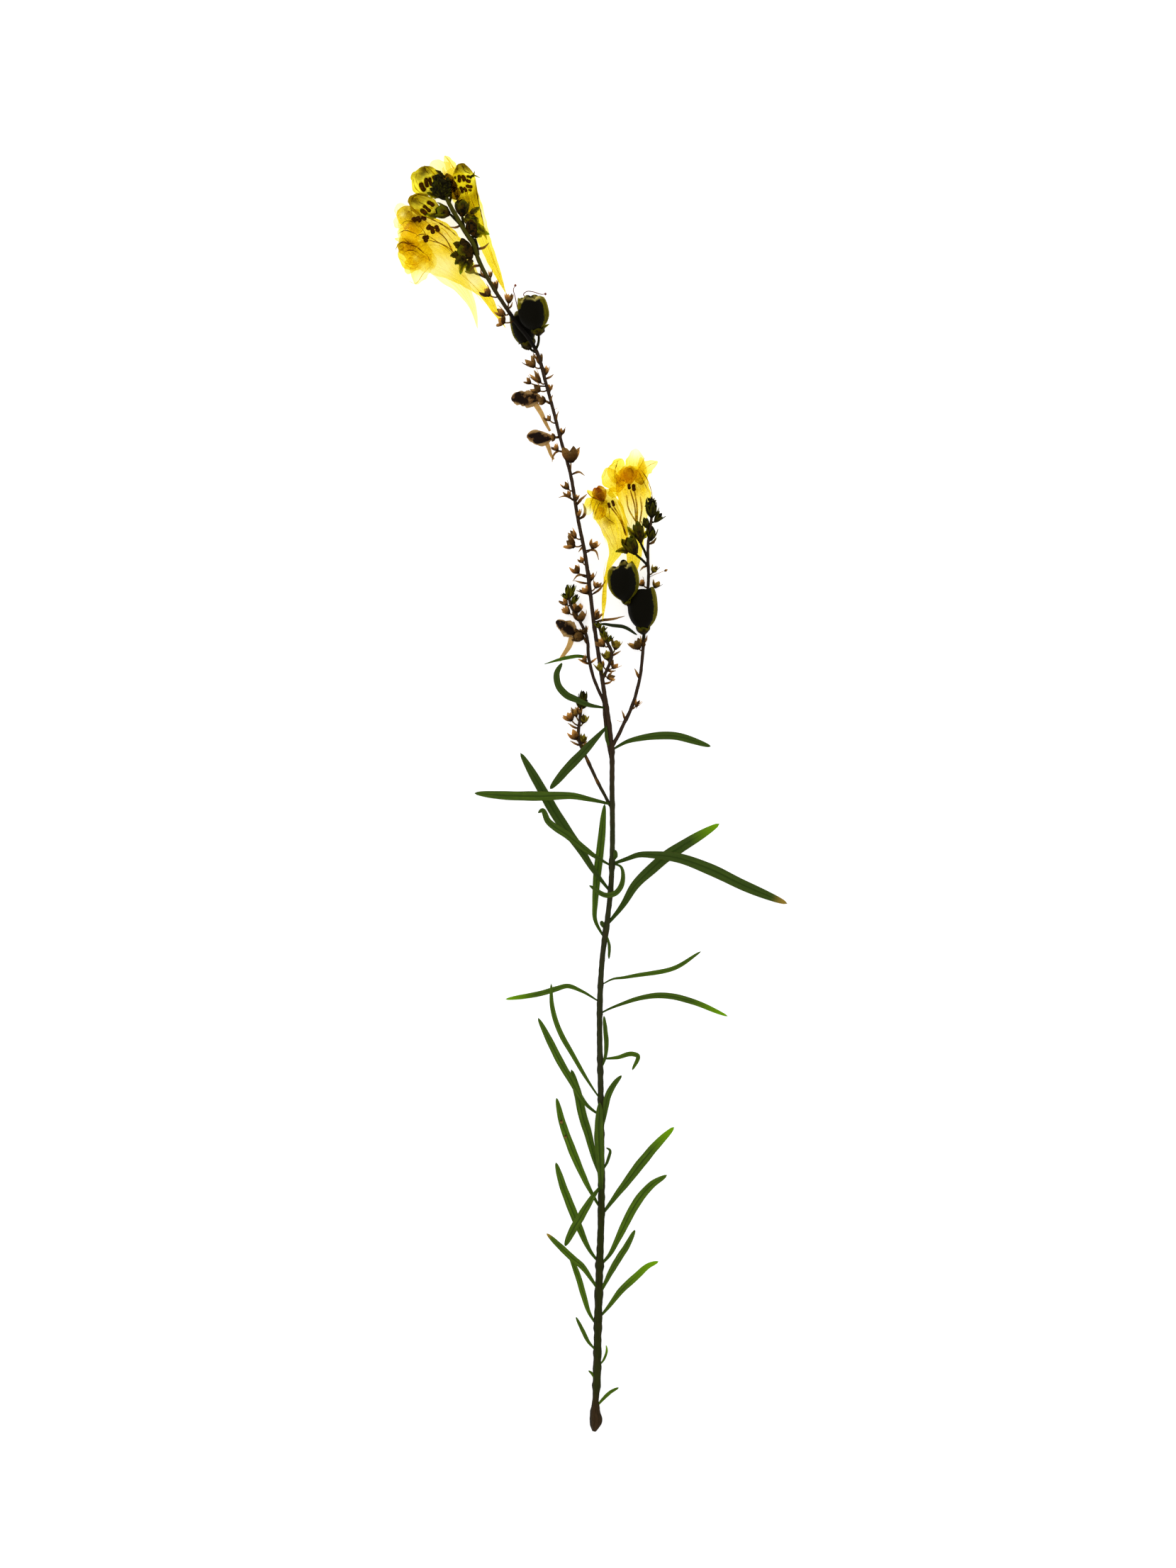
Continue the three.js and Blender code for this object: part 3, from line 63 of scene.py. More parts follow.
def smoothLine(rows, count):
    # Cubic pieces between rows, each row's slope taken from the rows beside it, with
    # stations evenly spaced by length. Every column is carried along.
    rows = np.asarray(rows, float)
    steps = np.linalg.norm(np.diff(rows[:, :3], axis=0), axis=1)
    knots = np.concatenate([[0.0], np.cumsum(steps)])
    slopes = np.gradient(rows, knots, axis=0)
    way = np.linspace(0.0, knots[-1], count)
    i = np.clip(np.searchsorted(knots, way, side="right") - 1, 0, len(steps) - 1)
    s = ((way - knots[i]) / steps[i])[:, None]
    h = steps[i][:, None]
    return (
        (2 * s**3 - 3 * s**2 + 1) * rows[i]
        + (s**3 - 2 * s**2 + s) * h * slopes[i]
        + (3 * s**2 - 2 * s**3) * rows[i + 1]
        + (s**3 - s**2) * h * slopes[i + 1]
    )


def sidesOf(line):
    # The level direction across a line and the one over both. Where the line is steep, across
    # is taken from the picture's upright instead.
    along = unit(np.gradient(line, axis=0))
    across = np.cross([0.0, 0.0, 1.0], along)
    steep = np.linalg.norm(across, axis=1, keepdims=True) < 0.15
    across = unit(np.where(steep, np.cross([0.0, 1.0, 0.0], along), across))
    return across, np.cross(along, across)


def ripple(points, size, seed):
    # Smooth bumps between about -1 and 1: six waves in seeded directions, roughly size apart.
    draw = np.random.default_rng(seed)
    total = np.zeros(points.shape[:-1])
    for k in range(6):
        heading = unit(draw.normal(size=3)) * 2 * np.pi / (size * draw.uniform(0.6, 1.5))
        total += np.sin(points @ heading + draw.uniform(0, 6.28))
    return total / 3


def turnOf(count):
    return 2 * np.pi * (np.arange(count) + 0.5) / count


def sweep(line, across, over, finish, trait=plain, frames=None, lift=None):
    # Rings round a line: each ring's points stand across and over it by the two arrays, and a
    # pole closes each end. grain holds where a point is on its ring and along the line.
    side, up = frames or sidesOf(line)
    n, m = across.shape
    rings = line[:, None] + side[:, None] * across[:, :, None] + up[:, None] * over[:, :, None]
    if lift is not None:
        rings = rings + np.cross(side, up)[:, None] * lift[:, :, None]
    points = np.concatenate([rings.reshape(-1, 3), line[:1], line[-1:]])
    row = np.arange(n - 1)[:, None] * m
    k = np.arange(m)[None]
    after = (k + 1) % m
    quads = np.stack([row + k, row + after, row + m + after, row + m + k], -1).reshape(-1, 4)
    k, after = k[0], after[0]
    low, high = np.full(m, n * m), np.full(m, n * m + 1)
    last = (n - 1) * m
    closing = [np.stack([low, after, k], 1), np.stack([high, last + k, last + after], 1)]
    tris = np.concatenate(closing)
    grain = np.empty((n, m, 3))
    grain[..., 0], grain[..., 1] = np.cos(turnOf(m)), np.sin(turnOf(m))
    grain[..., 2] = np.linspace(0, 1, n)[:, None]
    grain = np.concatenate([grain.reshape(-1, 3), [[0, 0, 0], [0, 0, 1]]])
    traits = np.broadcast_to(np.asarray(trait, float), grain.shape)
    return {"points": points, "quads": quads, "tris": tris, "grain": grain, "traits": traits,
            "finish": finish}


def rod(line, size, sides, finish, flat=1.0, trait=plain):
    # Rings of the given radius at each station, flattened by flat
    turn = turnOf(sides)
    return sweep(line, size * np.cos(turn), size * flat * np.sin(turn), finish, trait)


def ringPlaces(line, across, over):
    # About where the points of a level line's rings are, for bumps that vary with the place
    return np.stack([line[:, 0:1] + across, line[:, 1:2] + 0 * across, line[:, 2:3] + over], -1)


def buildPiece(name, patches, slot, *nodes):
    # Puts the patches into one mesh with its marks for the materials, and hands it to the frame.
    def joined(key, shifts):
        return np.concatenate([patch[key] + shift for patch, shift in zip(patches, shifts)])

    sizes = [len(patch["points"]) for patch in patches]
    starts = np.concatenate([[0], np.cumsum(sizes)[:-1]])
    still = [0] * len(patches)
    points = joined("points", still)
    points[:, 2] = np.maximum(points[:, 2], overTable)
    quads, tris = joined("quads", starts), joined("tris", starts)
    finishes = list(dict.fromkeys(patch["finish"] for patch in patches))
    kinds = [np.full(len(patch[key]), finishes.index(patch["finish"]))
             for key in ("quads", "tris") for patch in patches]
    corners = np.concatenate([quads.ravel(), tris.ravel()])
    lengths = np.concatenate([np.full(len(quads), 4), np.full(len(tris), 3)])
    loopStarts = np.concatenate([[0], np.cumsum(lengths)[:-1]])
    mesh = bpy.data.meshes.new(name)
    mesh.vertices.add(len(points))
    mesh.vertices.foreach_set("co", points.astype(np.float32).ravel())
    mesh.loops.add(len(corners))
    mesh.loops.foreach_set("vertex_index", corners.astype(np.int32))
    mesh.polygons.add(len(lengths))
    mesh.polygons.foreach_set("loop_start", loopStarts.astype(np.int32))
    mesh.polygons.foreach_set("material_index", np.concatenate(kinds).astype(np.int32))
    mesh.polygons.foreach_set("use_smooth", np.ones(len(lengths), bool))
    mesh.update(calc_edges=True)
    for label, key in (("grain", "grain"), ("trait", "traits")):
        values = joined(key, still).astype(np.float32).ravel()
        mesh.attributes.new(label, "FLOAT_VECTOR", "POINT").data.foreach_set("vector", values)
    for finish in finishes:
        mesh.materials.append(finish)
    piece = bpy.data.objects.new(name, mesh)
    bpy.context.scene.collection.objects.link(piece)
    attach(piece, "root")
    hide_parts(*nodes)
    print(f"{name}: {len(points)} points")


# Materials: add makes one shader node, feeds its inputs with values or other nodes, and hands
# back its output.

def linear(colour):
    # A colour given as red, green, blue from 0 to 255, as light
    share = np.asarray(colour, float) / 255
    light = np.where(share <= 0.04045, share / 12.92, ((share + 0.055) / 1.055) ** 2.4)
    return (*light.tolist(), 1.0)


def newFinish(name):
    material = bpy.data.materials.new(name)
    material.use_nodes = True
    tree = material.node_tree
    tree.nodes.clear()

    def add(kind, feeds=None, out=0, **settings):
        made = tree.nodes.new("ShaderNode" + kind)
        for key, value in settings.items():
            setattr(made, key, value)
        for key, value in (feeds or {}).items():
            if isinstance(value, bpy.types.NodeSocket):
                tree.links.new(value, made.inputs[key])
            else:
                made.inputs[key].default_value = value
        return made.outputs[out]

    return material, add


def finishOf(material, shader):
    out = material.node_tree.nodes.new("ShaderNodeOutputMaterial")
    material.node_tree.links.new(shader, out.inputs["Surface"])
    return material


def calc(add, operation, a, b=0.0):
    return add("Math", {0: a, 1: b}, operation=operation)


def product(add, first, *others):
    for other in others:
        first = calc(add, "MULTIPLY", first, other)
    return first


def awayFrom(add, value, middle=0.0):
    # How far a value is from the middle one, on either side
    return calc(add, "ABSOLUTE", calc(add, "SUBTRACT", value, middle) if middle else value)


def fade(add, value, low, high, start=0.0, end=1.0):
    # A smooth step of value between low and high
    return add("MapRange", {"Value": value, "From Min": low, "From Max": high, "To Min": start,
                            "To Max": end}, interpolation_type="SMOOTHSTEP")


def tint(add, share, first, second):
    feeds = {0: share}
    for socket, colour in ((6, first), (7, second)):
        feeds[socket] = colour if isinstance(colour, bpy.types.NodeSocket) else linear(colour)
    return add("Mix", feeds, out=2, data_type="RGBA")


def overlaid(add, colour, *layers):
    # Colours laid over one another: each layer's share, then its colour
    for share, over in layers:
        colour = tint(add, share, colour, over)
    return colour


def marksOf(add, label="grain"):
    # The three numbers kept on each point of a piece
    split = add("SeparateXYZ", {0: add("Attribute", attribute_name=label, out=1)})
    return [split.node.outputs[i] for i in range(3)]


def spots(add, scale, detail=3.0, rough=0.55):
    where = add("TexCoord", out=3)
    return add("TexNoise", {"Vector": where, "Scale": scale, "Detail": detail, "Roughness": rough})


def fibres(add, around, length, scale=1.0, detail=3.0):
    # Fine lines that follow the surface: noise drawn out along the piece
    stretched = [product(add, mark, by) for mark, by in zip(marksOf(add), (around, around, length))]
    where = add("CombineXYZ", dict(enumerate(stretched)))
    return add("TexNoise", {"Vector": where, "Scale": scale, "Detail": detail, "Roughness": 0.6})


def surfaceOf(add, colour, roughness, bump, strength=0.3, distance=0.0002, specular=0.08):
    normal = add("Bump", {"Height": bump, "Strength": strength, "Distance": distance})
    return add("BsdfPrincipled", {"Base Color": colour, "Roughness": roughness,
                                  "Specular IOR Level": specular, "Normal": normal})


def glow(add, shader, colour, share):
    # Light that comes through from behind
    return add("MixShader", {0: share, 1: shader, 2: add("BsdfTranslucent", {"Color": colour})})


def seeThrough(add, shader, colour, share):
    # The background shows through by share. Each of a sheet's two skins gives half the tint.
    half = add("Gamma", {"Color": colour, "Gamma": 0.5})
    return add("MixShader", {0: share, 1: shader, 2: add("BsdfTransparent", {"Color": half})})


# Leaves: a dark midrib and margin, lighter between, with fine veins; the tips may turn
leafLook = {
    "dark": (84, 112, 26), "light": (134, 168, 44), "vein": (52, 68, 20), "edge": (96, 92, 34),
    "dull": (66, 76, 40), "freshTip": (150, 200, 6), "dryTip": (196, 156, 70), "brown": (44, 42, 30),
    "through": (124, 164, 26), "glow": 0.5,
}


def leafFinish(look):
    material, add = newFinish("leafGreen")
    x, y, z = marksOf(add)
    lot, fresh, dry = marksOf(add, "trait")
    lines = fibres(add, 5, 3, 2.0)
    away = awayFrom(add, x)
    since = calc(add, "SUBTRACT", 0.95, product(add, fresh, 0.5))
    end = add("MapRange", {"Value": z, "From Min": since, "From Max": 1.0})
    colour = overlaid(
        add, tint(add, fade(add, lines, 0.35, 0.7), look["dark"], look["light"]),
        (fade(add, spots(add, 900), 0.42, 0.7, 0, 0.45), look["dark"]),
        (fade(add, lot, 0, 1, 0, 0.85), look["dull"]),
        (fade(add, away, 0.22, 0.05, 0, 0.8), look["vein"]),
        (fade(add, away, 0.82, 0.98, 0, 0.6), look["edge"]),
        (fade(add, z, 0.3, 0.02, 0, 0.6), look["vein"]),
        (product(add, end, fade(add, fresh, 0, 0.3)), look["freshTip"]),
        (product(add, fade(add, z, 0.9, 0.98), dry), look["dryTip"]),
        (fade(add, fresh, 0, -1), look["brown"]),
    )
    through = tint(add, 0.5, colour, look["through"])
    shader = surfaceOf(add, colour, 0.5, lines, 0.35, 0.00015)
    return finishOf(material, glow(add, shader, through, look["glow"]))


# Stem: green and ribbed below, brown-black where it carries flowers, with painted shade darkening
# its flanks as seen from above. The rows are places along it in metres where one colour passes into
# the next.
stemLook = {
    "green": (48, 54, 18), "middle": (54, 58, 32), "brown": (64, 47, 35), "olive": (76, 74, 12),
    "dark": (28, 26, 14), "foot": (62, 46, 28), "black": (20, 17, 14), "middleRows": (-0.068, -0.055),
    "brownRows": (-0.008, 0.012), "oliveRows": (0.092, 0.108), "footRows": (-0.117, -0.122),
    "blackRows": (0.0868, 0.0882, 0.0962, 0.094),
}


def stemFinish(look):
    material, add = newFinish("stemSkin")
    place = add("SeparateXYZ", {0: add("TexCoord", out=3)}).node.outputs[1]
    lines = fibres(add, 4, 60, 1.6)
    black = look["blackRows"]
    colour = overlaid(
        add, tint(add, fade(add, place, *look["middleRows"]), look["green"], look["middle"]),
        (fade(add, place, *look["brownRows"]), look["brown"]),
        (fade(add, place, *look["oliveRows"]), look["olive"]),
        (fade(add, place, *look["footRows"]), look["foot"]),
        (fade(add, lines, 0.3, 0.62, 0.7, 0), look["dark"]),
        (fade(add, spots(add, 700), 0.5, 0.75, 0, 0.4), look["foot"]),
        (product(add, fade(add, place, *black[:2]), fade(add, place, *black[2:])), look["black"]),
        # painted shade: the stem's flanks, where its rings turn to the sides, darkened with the same dark as
        # the rib lines
        (fade(add, awayFrom(add, marksOf(add)[0]), 0.6, 0.95, 0, 0.8), look["dark"]),
    )
    return finishOf(material, surfaceOf(add, colour, 0.55, lines, 0.5, 0.0002, 0.03))


# Dried calyces and bracts: thin and tan at the points, dark at the foot
dryLook = {
    "point": (226, 180, 104), "middle": (176, 122, 58), "foot": (60, 38, 18), "fresh": (178, 166, 38),
    "glow": 0.5, "thin": 0.5,
}


def dryFinish(look):
    material, add = newFinish("driedHusk")
    x, y, z = marksOf(add)
    lot, fresh, solid = marksOf(add, "trait")
    grainy = spots(add, 2200)
    colour = overlaid(
        add, tint(add, fade(add, z, 0.3, 0.9), look["middle"], look["point"]),
        (fade(add, awayFrom(add, x), 0.45, 0.95, 0, 0.7), look["point"]),
        (fade(add, fresh, 0, 1, 0, 0.85), look["fresh"]),
        (fade(add, z, 0.5, 0.1), look["foot"]),
        (fade(add, grainy, 0.5, 0.72, 0, 0.6), look["foot"]),
        (fade(add, lot, 0.3, 1, 0, 0.85), look["foot"]),
    )
    shader = glow(add, surfaceOf(add, colour, 0.7, grainy, 0.4, 0.0001, 0.02), colour, look["glow"])
    clear = product(add, fade(add, z, 0.15, 0.6, 0, look["thin"]), fade(add, solid, 1, 0))
    return finishOf(material, seeThrough(add, shader, colour, clear))


# Green calyces, buds and fresh bracts: nearly black where thick, bright at margins and points
sepalLook = {
    "deep": (18, 15, 4), "green": (44, 40, 8), "point": (104, 146, 8), "brown": (74, 46, 6),
    "flare": (204, 196, 12), "clear": 0.95,
}


def sepalFinish(look):
    material, add = newFinish("sepalGreen")
    x, y, z = marksOf(add)
    lot, bright, brown = marksOf(add, "trait")
    grainy = spots(add, 1500)
    edge = fade(add, awayFrom(add, x), 0.15, 0.75, 0.15, 1)
    edge = calc(add, "MAXIMUM", edge, fade(add, z, 0.55, 0.95, 0, 0.9))
    thin = product(add, edge, bright, fade(add, z, 0.1, 0.6), fade(add, grainy, 0.3, 0.6, 0.6, 1))
    colour = overlaid(
        add, tint(add, fade(add, grainy, 0.35, 0.68), look["deep"], look["green"]),
        (product(add, fade(add, grainy, 0.4, 0.6), brown), look["brown"]),
        (thin, look["flare"]),
        (product(add, fade(add, z, 0.7, 1.0), bright), look["point"]),
    )
    shader = glow(add, surfaceOf(add, colour, 0.55, grainy, 0.35, 0.0001, 0.04), colour, 0.3)
    return finishOf(material, seeThrough(add, shader, colour, product(add, thin, look["clear"])))


# Petals are thin and see-through, with fine veins along them; the upper skin is clearest. The
# trait of each point says how brown, how amber and how pale the petal is there: the brown and part
# of the amber are painted shade where petals overlap, fold or lie over the anthers, and some small
# pale spots are painted highlights.
petalLooks = {
    "petalYellow": {
        "thin": (255, 247, 138), "full": (253, 241, 42), "amber": (249, 220, 4), "pale": (255, 253, 222),
        "vein": (184, 140, 8), "brown": (118, 74, 4), "veined": 0.9, "lines": 7, "blotch": 520,
        "clearAbove": 0.991, "clearBelow": 0.76,
    },
    "petalPale": {
        "thin": (255, 253, 222), "full": (254, 247, 150), "amber": (246, 222, 60), "pale": (255, 253, 230),
        "vein": (214, 180, 70), "brown": (150, 110, 40), "veined": 0.6, "lines": 7, "blotch": 400,
        "clearAbove": 0.991, "clearBelow": 0.78,
    },
    "budSkin": {
        "thin": (222, 204, 20), "full": (150, 130, 4), "amber": (212, 158, 4), "pale": (255, 246, 70),
        "vein": (96, 66, 4), "brown": (66, 42, 4), "veined": 0.8, "lines": 5, "blotch": 520,
        "clearAbove": 0.991, "clearBelow": 0.76,
    },
}


def petalFinish(name, look):
    material, add = newFinish(name)
    x, y, z = marksOf(add)
    brown, amber, pale = marksOf(add, "trait")
    streaks = fibres(add, look["lines"], 1.2, 1.0, 3.0)
    hairs = fibres(add, look["lines"] * 2.2, 0.8, 1.0, 1.0)
    blotch = spots(add, look["blotch"], 4.0, 0.65)
    speckle = fade(add, spots(add, 3000, 2.0), 0.6, 0.72)
    fine = product(add, fade(add, awayFrom(add, hairs, 0.5), 0.03, 0.006),
                   fade(add, streaks, 0.44, 0.6, 0, look["veined"]))
    # painted shade: thin dark crumple lines in the petal's amber parts, in the vein colour, where folds would
    # darken it
    fold = fade(add, awayFrom(add, spots(add, look["blotch"] * 1.3, 2.0), 0.5), 0.016, 0.004, 0, 0.75)
    colour = overlaid(
        add, tint(add, fade(add, streaks, 0.36, 0.64), look["thin"], look["full"]),
        (product(add, fade(add, blotch, 0.3, 0.64, 0.3, 1), amber), look["amber"]),
        (fine, look["vein"]),
        (product(add, speckle, amber), look["vein"]),
        (product(add, fold, amber), look["vein"]),
        (product(add, fade(add, blotch, 0.34, 0.6, 0.3, 1), brown), look["brown"]),
        (product(add, fade(add, streaks, 0.75, 0.4, 0.7, 1), pale), look["pale"]),
    )
    shader = surfaceOf(add, colour, 0.45, streaks, 0.4, 0.00012, 0.06)
    clear = fade(add, y, -0.6, 0.6, look["clearBelow"], look["clearAbove"])
    return finishOf(material, seeThrough(add, shader, colour, clear))


# Capsule walls: green at the sides; painted shade, near black, on the faces above and below, where
# the seeds behind them block the light from the table; pale at the torn rim
wallLook = {
    "dull": (104, 98, 8), "fresh": (160, 150, 22), "shade": (22, 20, 12), "pale": (236, 220, 120),
    "clear": 0.4,
}


def wallFinish(look):
    material, add = newFinish("capsuleWall")
    x, y, z = marksOf(add)
    wide, pale, other = marksOf(add, "trait")
    lines = fibres(add, 7, 2, 1.0)
    # Where the wall is spared its painted shade: along the flanks, as wide as the trait says, one side wider
    toRim = product(add, x, fade(add, other, 0, 1, 1, -1))
    beside = product(add, fade(add, awayFrom(add, x), 0.6, 1, 0, 0.4), fade(add, z, 0.34, 0.44, 1, 5))
    hidden = product(add, fade(add, toRim, -0.3, -1, 0, 1.6), fade(add, z, 0.4, 0.3))
    flank = calc(add, "SUBTRACT", calc(add, "ADD", fade(add, toRim, 0, 1, 0, 0.8), beside), hidden)
    shadeDepth = calc(add, "ADD", awayFrom(add, y), product(add, spots(add, 1500, 4.0), 0.6))
    # painted shade: the wall turns near black towards its upper and lower faces, where the seeds behind it
    # block the light
    dark = fade(add, calc(add, "SUBTRACT", shadeDepth, product(add, flank, wide)), 0.55, 0.8)
    torn = fade(add, spots(add, 420), 0.42, 0.6)
    rim = product(add, fade(add, awayFrom(add, z, 0.52), 0.07, 0.02), pale, torn)
    colour = overlaid(
        add, tint(add, fade(add, lines, 0.35, 0.65), look["dull"], look["fresh"]),
        (dark, look["shade"]), (rim, look["pale"]),
    )
    shader = glow(add, surfaceOf(add, colour, 0.6, lines, 0.5, 0.0002, 0.04), colour, 0.45)
    clear = product(add, calc(add, "SUBTRACT", 1.0, dark), look["clear"])
    return finishOf(material, seeThrough(add, shader, colour, clear))


def solidFinish(name, first, second, roughness, size, strength=0.4):
    material, add = newFinish(name)
    grainy = spots(add, size)
    colour = tint(add, fade(add, grainy, 0.35, 0.68), first, second)
    return finishOf(material, surfaceOf(add, colour, roughness, grainy, strength, 0.0001, 0.06))


# Palates: velvety, deeper or paler by their trait
palateLook = {"light": (253, 236, 84), "gold": (246, 212, 34), "deep": (160, 84, 4), "pale": (255, 247, 170)}


def palateFinish(look):
    material, add = newFinish("palateVelvet")
    lot, deep, pale = marksOf(add, "trait")
    grainy = spots(add, 1300)
    colour = overlaid(
        add, tint(add, fade(add, grainy, 0.35, 0.65), look["light"], look["gold"]),
        (product(add, fade(add, spots(add, 500), 0.35, 0.6, 0.5, 1), deep), look["deep"]),
        (pale, look["pale"]),
    )
    shader = surfaceOf(add, colour, 0.6, grainy, 0.5, 0.0001, 0.03)
    return finishOf(material, seeThrough(add, shader, colour, fade(add, pale, 0, 1, 0.82, 0.97)))


# Withered flowers: streaked tan with a pale rim, with dark blotches and painted shade of the cavity
# in their middle where the trait says, and painted light where the trait says lit
witheredLook = {
    "tan": (138, 92, 44), "light": (206, 160, 96), "rim": (232, 194, 126), "lit": (244, 208, 132),
    "hollow": (34, 21, 12),
}


def witheredFinish(look):
    material, add = newFinish("witheredSkin")
    x, y, z = marksOf(add)
    hollow, clean, lit = marksOf(add, "trait")
    lines = fibres(add, 4, 4, 1.5)
    away = awayFrom(add, x)
    # dark blotches, plus painted shade of the cavity, fading towards the sides
    dark = calc(add, "ADD", fade(add, spots(add, 520, 4.0, 0.65), 0.4, 0.6, 0, 0.95), hollow)
    colour = overlaid(
        add, tint(add, fade(add, lines, 0.3, 0.7), look["tan"], look["light"]),
        (fade(add, away, 0.45, 0.95, 0, 0.7), look["rim"]),
        (lit, look["lit"]),
        (product(add, dark, fade(add, away, 0.95, 0.5, 0.1, 1), fade(add, clean, 1, 0)), look["hollow"]),
    )
    return finishOf(material, glow(add, surfaceOf(add, colour, 0.6, lines, 0.6, 0.0003), colour, 0.4))


leafGreen = leafFinish(leafLook)
stemSkin = stemFinish(stemLook)
driedHusk = dryFinish(dryLook)
sepalGreen = sepalFinish(sepalLook)
petal = {name: petalFinish(name, look) for name, look in petalLooks.items()}
capsuleWall = wallFinish(wallLook)
palateVelvet = palateFinish(palateLook)
antherBrown = solidFinish("antherBrown", (80, 34, 6), (40, 18, 4), 0.6, 2500)
rimYellow = solidFinish("rimYellow", (255, 246, 140), (250, 226, 84), 0.5, 1500)
seedBlack = solidFinish("seedBlack", (18, 16, 15), (38, 34, 30), 0.6, 1200, 0.6)
styleBrown = solidFinish("styleBrown", (150, 84, 66), (110, 58, 44), 0.5, 1500)
witheredSkin = witheredFinish(witheredLook)
print("finishes made")


# Camera, table and light: the stem lies on a lit white table and is seen from straight above
viewSet = {"height": 3.5, "tall": 2212, "middle": (829.5, 1106.0), "depth": 0.004, "sensor": 36.0}
middle = spotAt((*viewSet["middle"], 0))
camera = bpy.data.objects.new("camera", bpy.data.cameras.new("camera"))
camera.location = (middle[0], middle[1], viewSet["height"] + viewSet["depth"])
camera.data.sensor_width = viewSet["sensor"]
camera.data.lens = viewSet["sensor"] * viewSet["height"] / (viewSet["tall"] * pixel)
camera.data.clip_start, camera.data.clip_end = 0.5, 20
bpy.context.scene.collection.objects.link(camera)
bpy.context.scene.camera = camera
bpy.context.scene.view_settings.view_transform = "Standard"
bpy.context.scene.cycles.transparent_max_bounces = 24

tableSet = {"half": 4.0, "glow": 0.62, "white": (243, 243, 243)}
half = tableSet["half"]
tableMesh = bpy.data.meshes.new("table")
tableCorners = [(-half, -half, 0), (half, -half, 0), (half, half, 0), (-half, half, 0)]
tableMesh.from_pydata(tableCorners, [], [(0, 1, 2, 3)])
table = bpy.data.objects.new("table", tableMesh)
bpy.context.scene.collection.objects.link(table)
material, add = newFinish("tableWhite")
white = add("BsdfDiffuse", {"Color": linear(tableSet["white"])})
lit = add("Emission", {"Strength": tableSet["glow"]})
tableMesh.materials.append(finishOf(material, add("AddShader", {0: white, 1: lit})))

lightSet = {"sky": 0.75, "lamp": 5.0, "at": (-0.5, 0.9, 1.4), "size": 1.0, "turn": (-0.57, -0.33, 0)}
world = bpy.data.worlds.new("studio")
world.use_nodes = True
world.node_tree.nodes["Background"].inputs["Strength"].default_value = lightSet["sky"]
world.node_tree.nodes["Background"].inputs["Color"].default_value = (1, 1, 1, 1)
bpy.context.scene.world = world
lamp = bpy.data.objects.new("softLamp", bpy.data.lights.new("softLamp", "AREA"))
lamp.data.energy, lamp.data.size = lightSet["lamp"], lightSet["size"]
lamp.location, lamp.rotation_euler = lightSet["at"], lightSet["turn"]
bpy.context.scene.collection.objects.link(lamp)
print("camera, table and light set")


# Main stem from the woody foot to the top of the raceme: u, v, height, radius
mainAxis = [
    (838, 2020, 0.9, 0.3), (839.5, 2012, 0.95, 0.9), (841, 2004, 1, 1.12), (840, 1995, 1.05, 0.92),
    (840, 1987, 1.15, 0.7), (842, 1950, 1.4, 0.7), (843.5, 1875, 1.95, 0.68), (846, 1790, 2.4, 0.66),
    (848.5, 1700, 2.75, 0.57), (848.5, 1610, 2.9, 0.54), (847.5, 1530, 2.95, 0.52), (846, 1450, 3, 0.5),
    (847, 1395, 3.05, 0.49), (850, 1350, 3.1, 0.48), (856, 1305, 3.15, 0.47), (862, 1250, 3.2, 0.47),
    (864, 1200, 3.2, 0.46), (863.5, 1110, 3.3, 0.45), (863, 1058, 3.3, 0.45), (859, 1020, 3.4, 0.42),
    (853, 980, 3.45, 0.39), (847, 940, 3.5, 0.37), (838, 880, 3.55, 0.35), (832, 830, 3.6, 0.34),
    (826, 785, 3.6, 0.34), (815, 730, 3.7, 0.32), (804, 665, 3.75, 0.31), (791, 620, 3.8, 0.3),
    (781, 580, 4, 0.3), (770, 540, 4.4, 0.3), (755, 492, 5.3, 0.34), (744, 475, 5.6, 0.35),
    (731, 459, 5.7, 0.35), (718, 440, 5.6, 0.35), (699, 411, 5.65, 0.35), (684, 385, 5.9, 0.36),
    (675, 366, 6.1, 0.38), (669, 347, 6.4, 0.42), (657, 328, 6.9, 0.42), (645, 308, 7.4, 0.4),
    (635, 290, 7.8, 0.38), (621, 258, 8.3, 0.3),
]
stemSet = {
    "grow": 1.13, "stations": 900, "sides": 20, "ribs": 5, "ribDepth": 0.05, "rough": 0.05, "nodeSwell": 0.16,
    "nodeReach": 5.0,
}


def onAxis(axis, v):
    # Column, row and height of an axis at a picture row
    rows = np.asarray(axis, float)[::-1]
    return [float(np.interp(v, rows[:, 1], rows[:, 0])), v, float(np.interp(v, rows[:, 1], rows[:, 2]))]


def stemPatch(axis, stations, sides, nodes=()):
    # The axis swells a little at each node, where a leaf or a pedicel leaves it.
    line = smoothLine(toPlace(axis), stations)
    v = midV - line[:, 1] / pixel
    swell = np.ones(stations)
    for node in nodes:
        swell += stemSet["nodeSwell"] * np.exp(-(((v - node) / stemSet["nodeReach"]) ** 2))
    line[:, 2] += (stemSet["grow"] - 1) * line[:, 3]
    line[:, 3] *= np.minimum(swell, 1 + 1.5 * stemSet["nodeSwell"]) * stemSet["grow"]
    turn = turnOf(sides)
    ring = line[:, 3:4] * (1 + stemSet["ribDepth"] * np.cos(stemSet["ribs"] * turn))
    across, over = ring * np.cos(turn), ring * np.sin(turn)
    uneven = 1 + stemSet["rough"] * ripple(ringPlaces(line, across, over), 0.0016, 5)
    return sweep(line[:, :3], across * uneven, over * uneven, stemSkin)


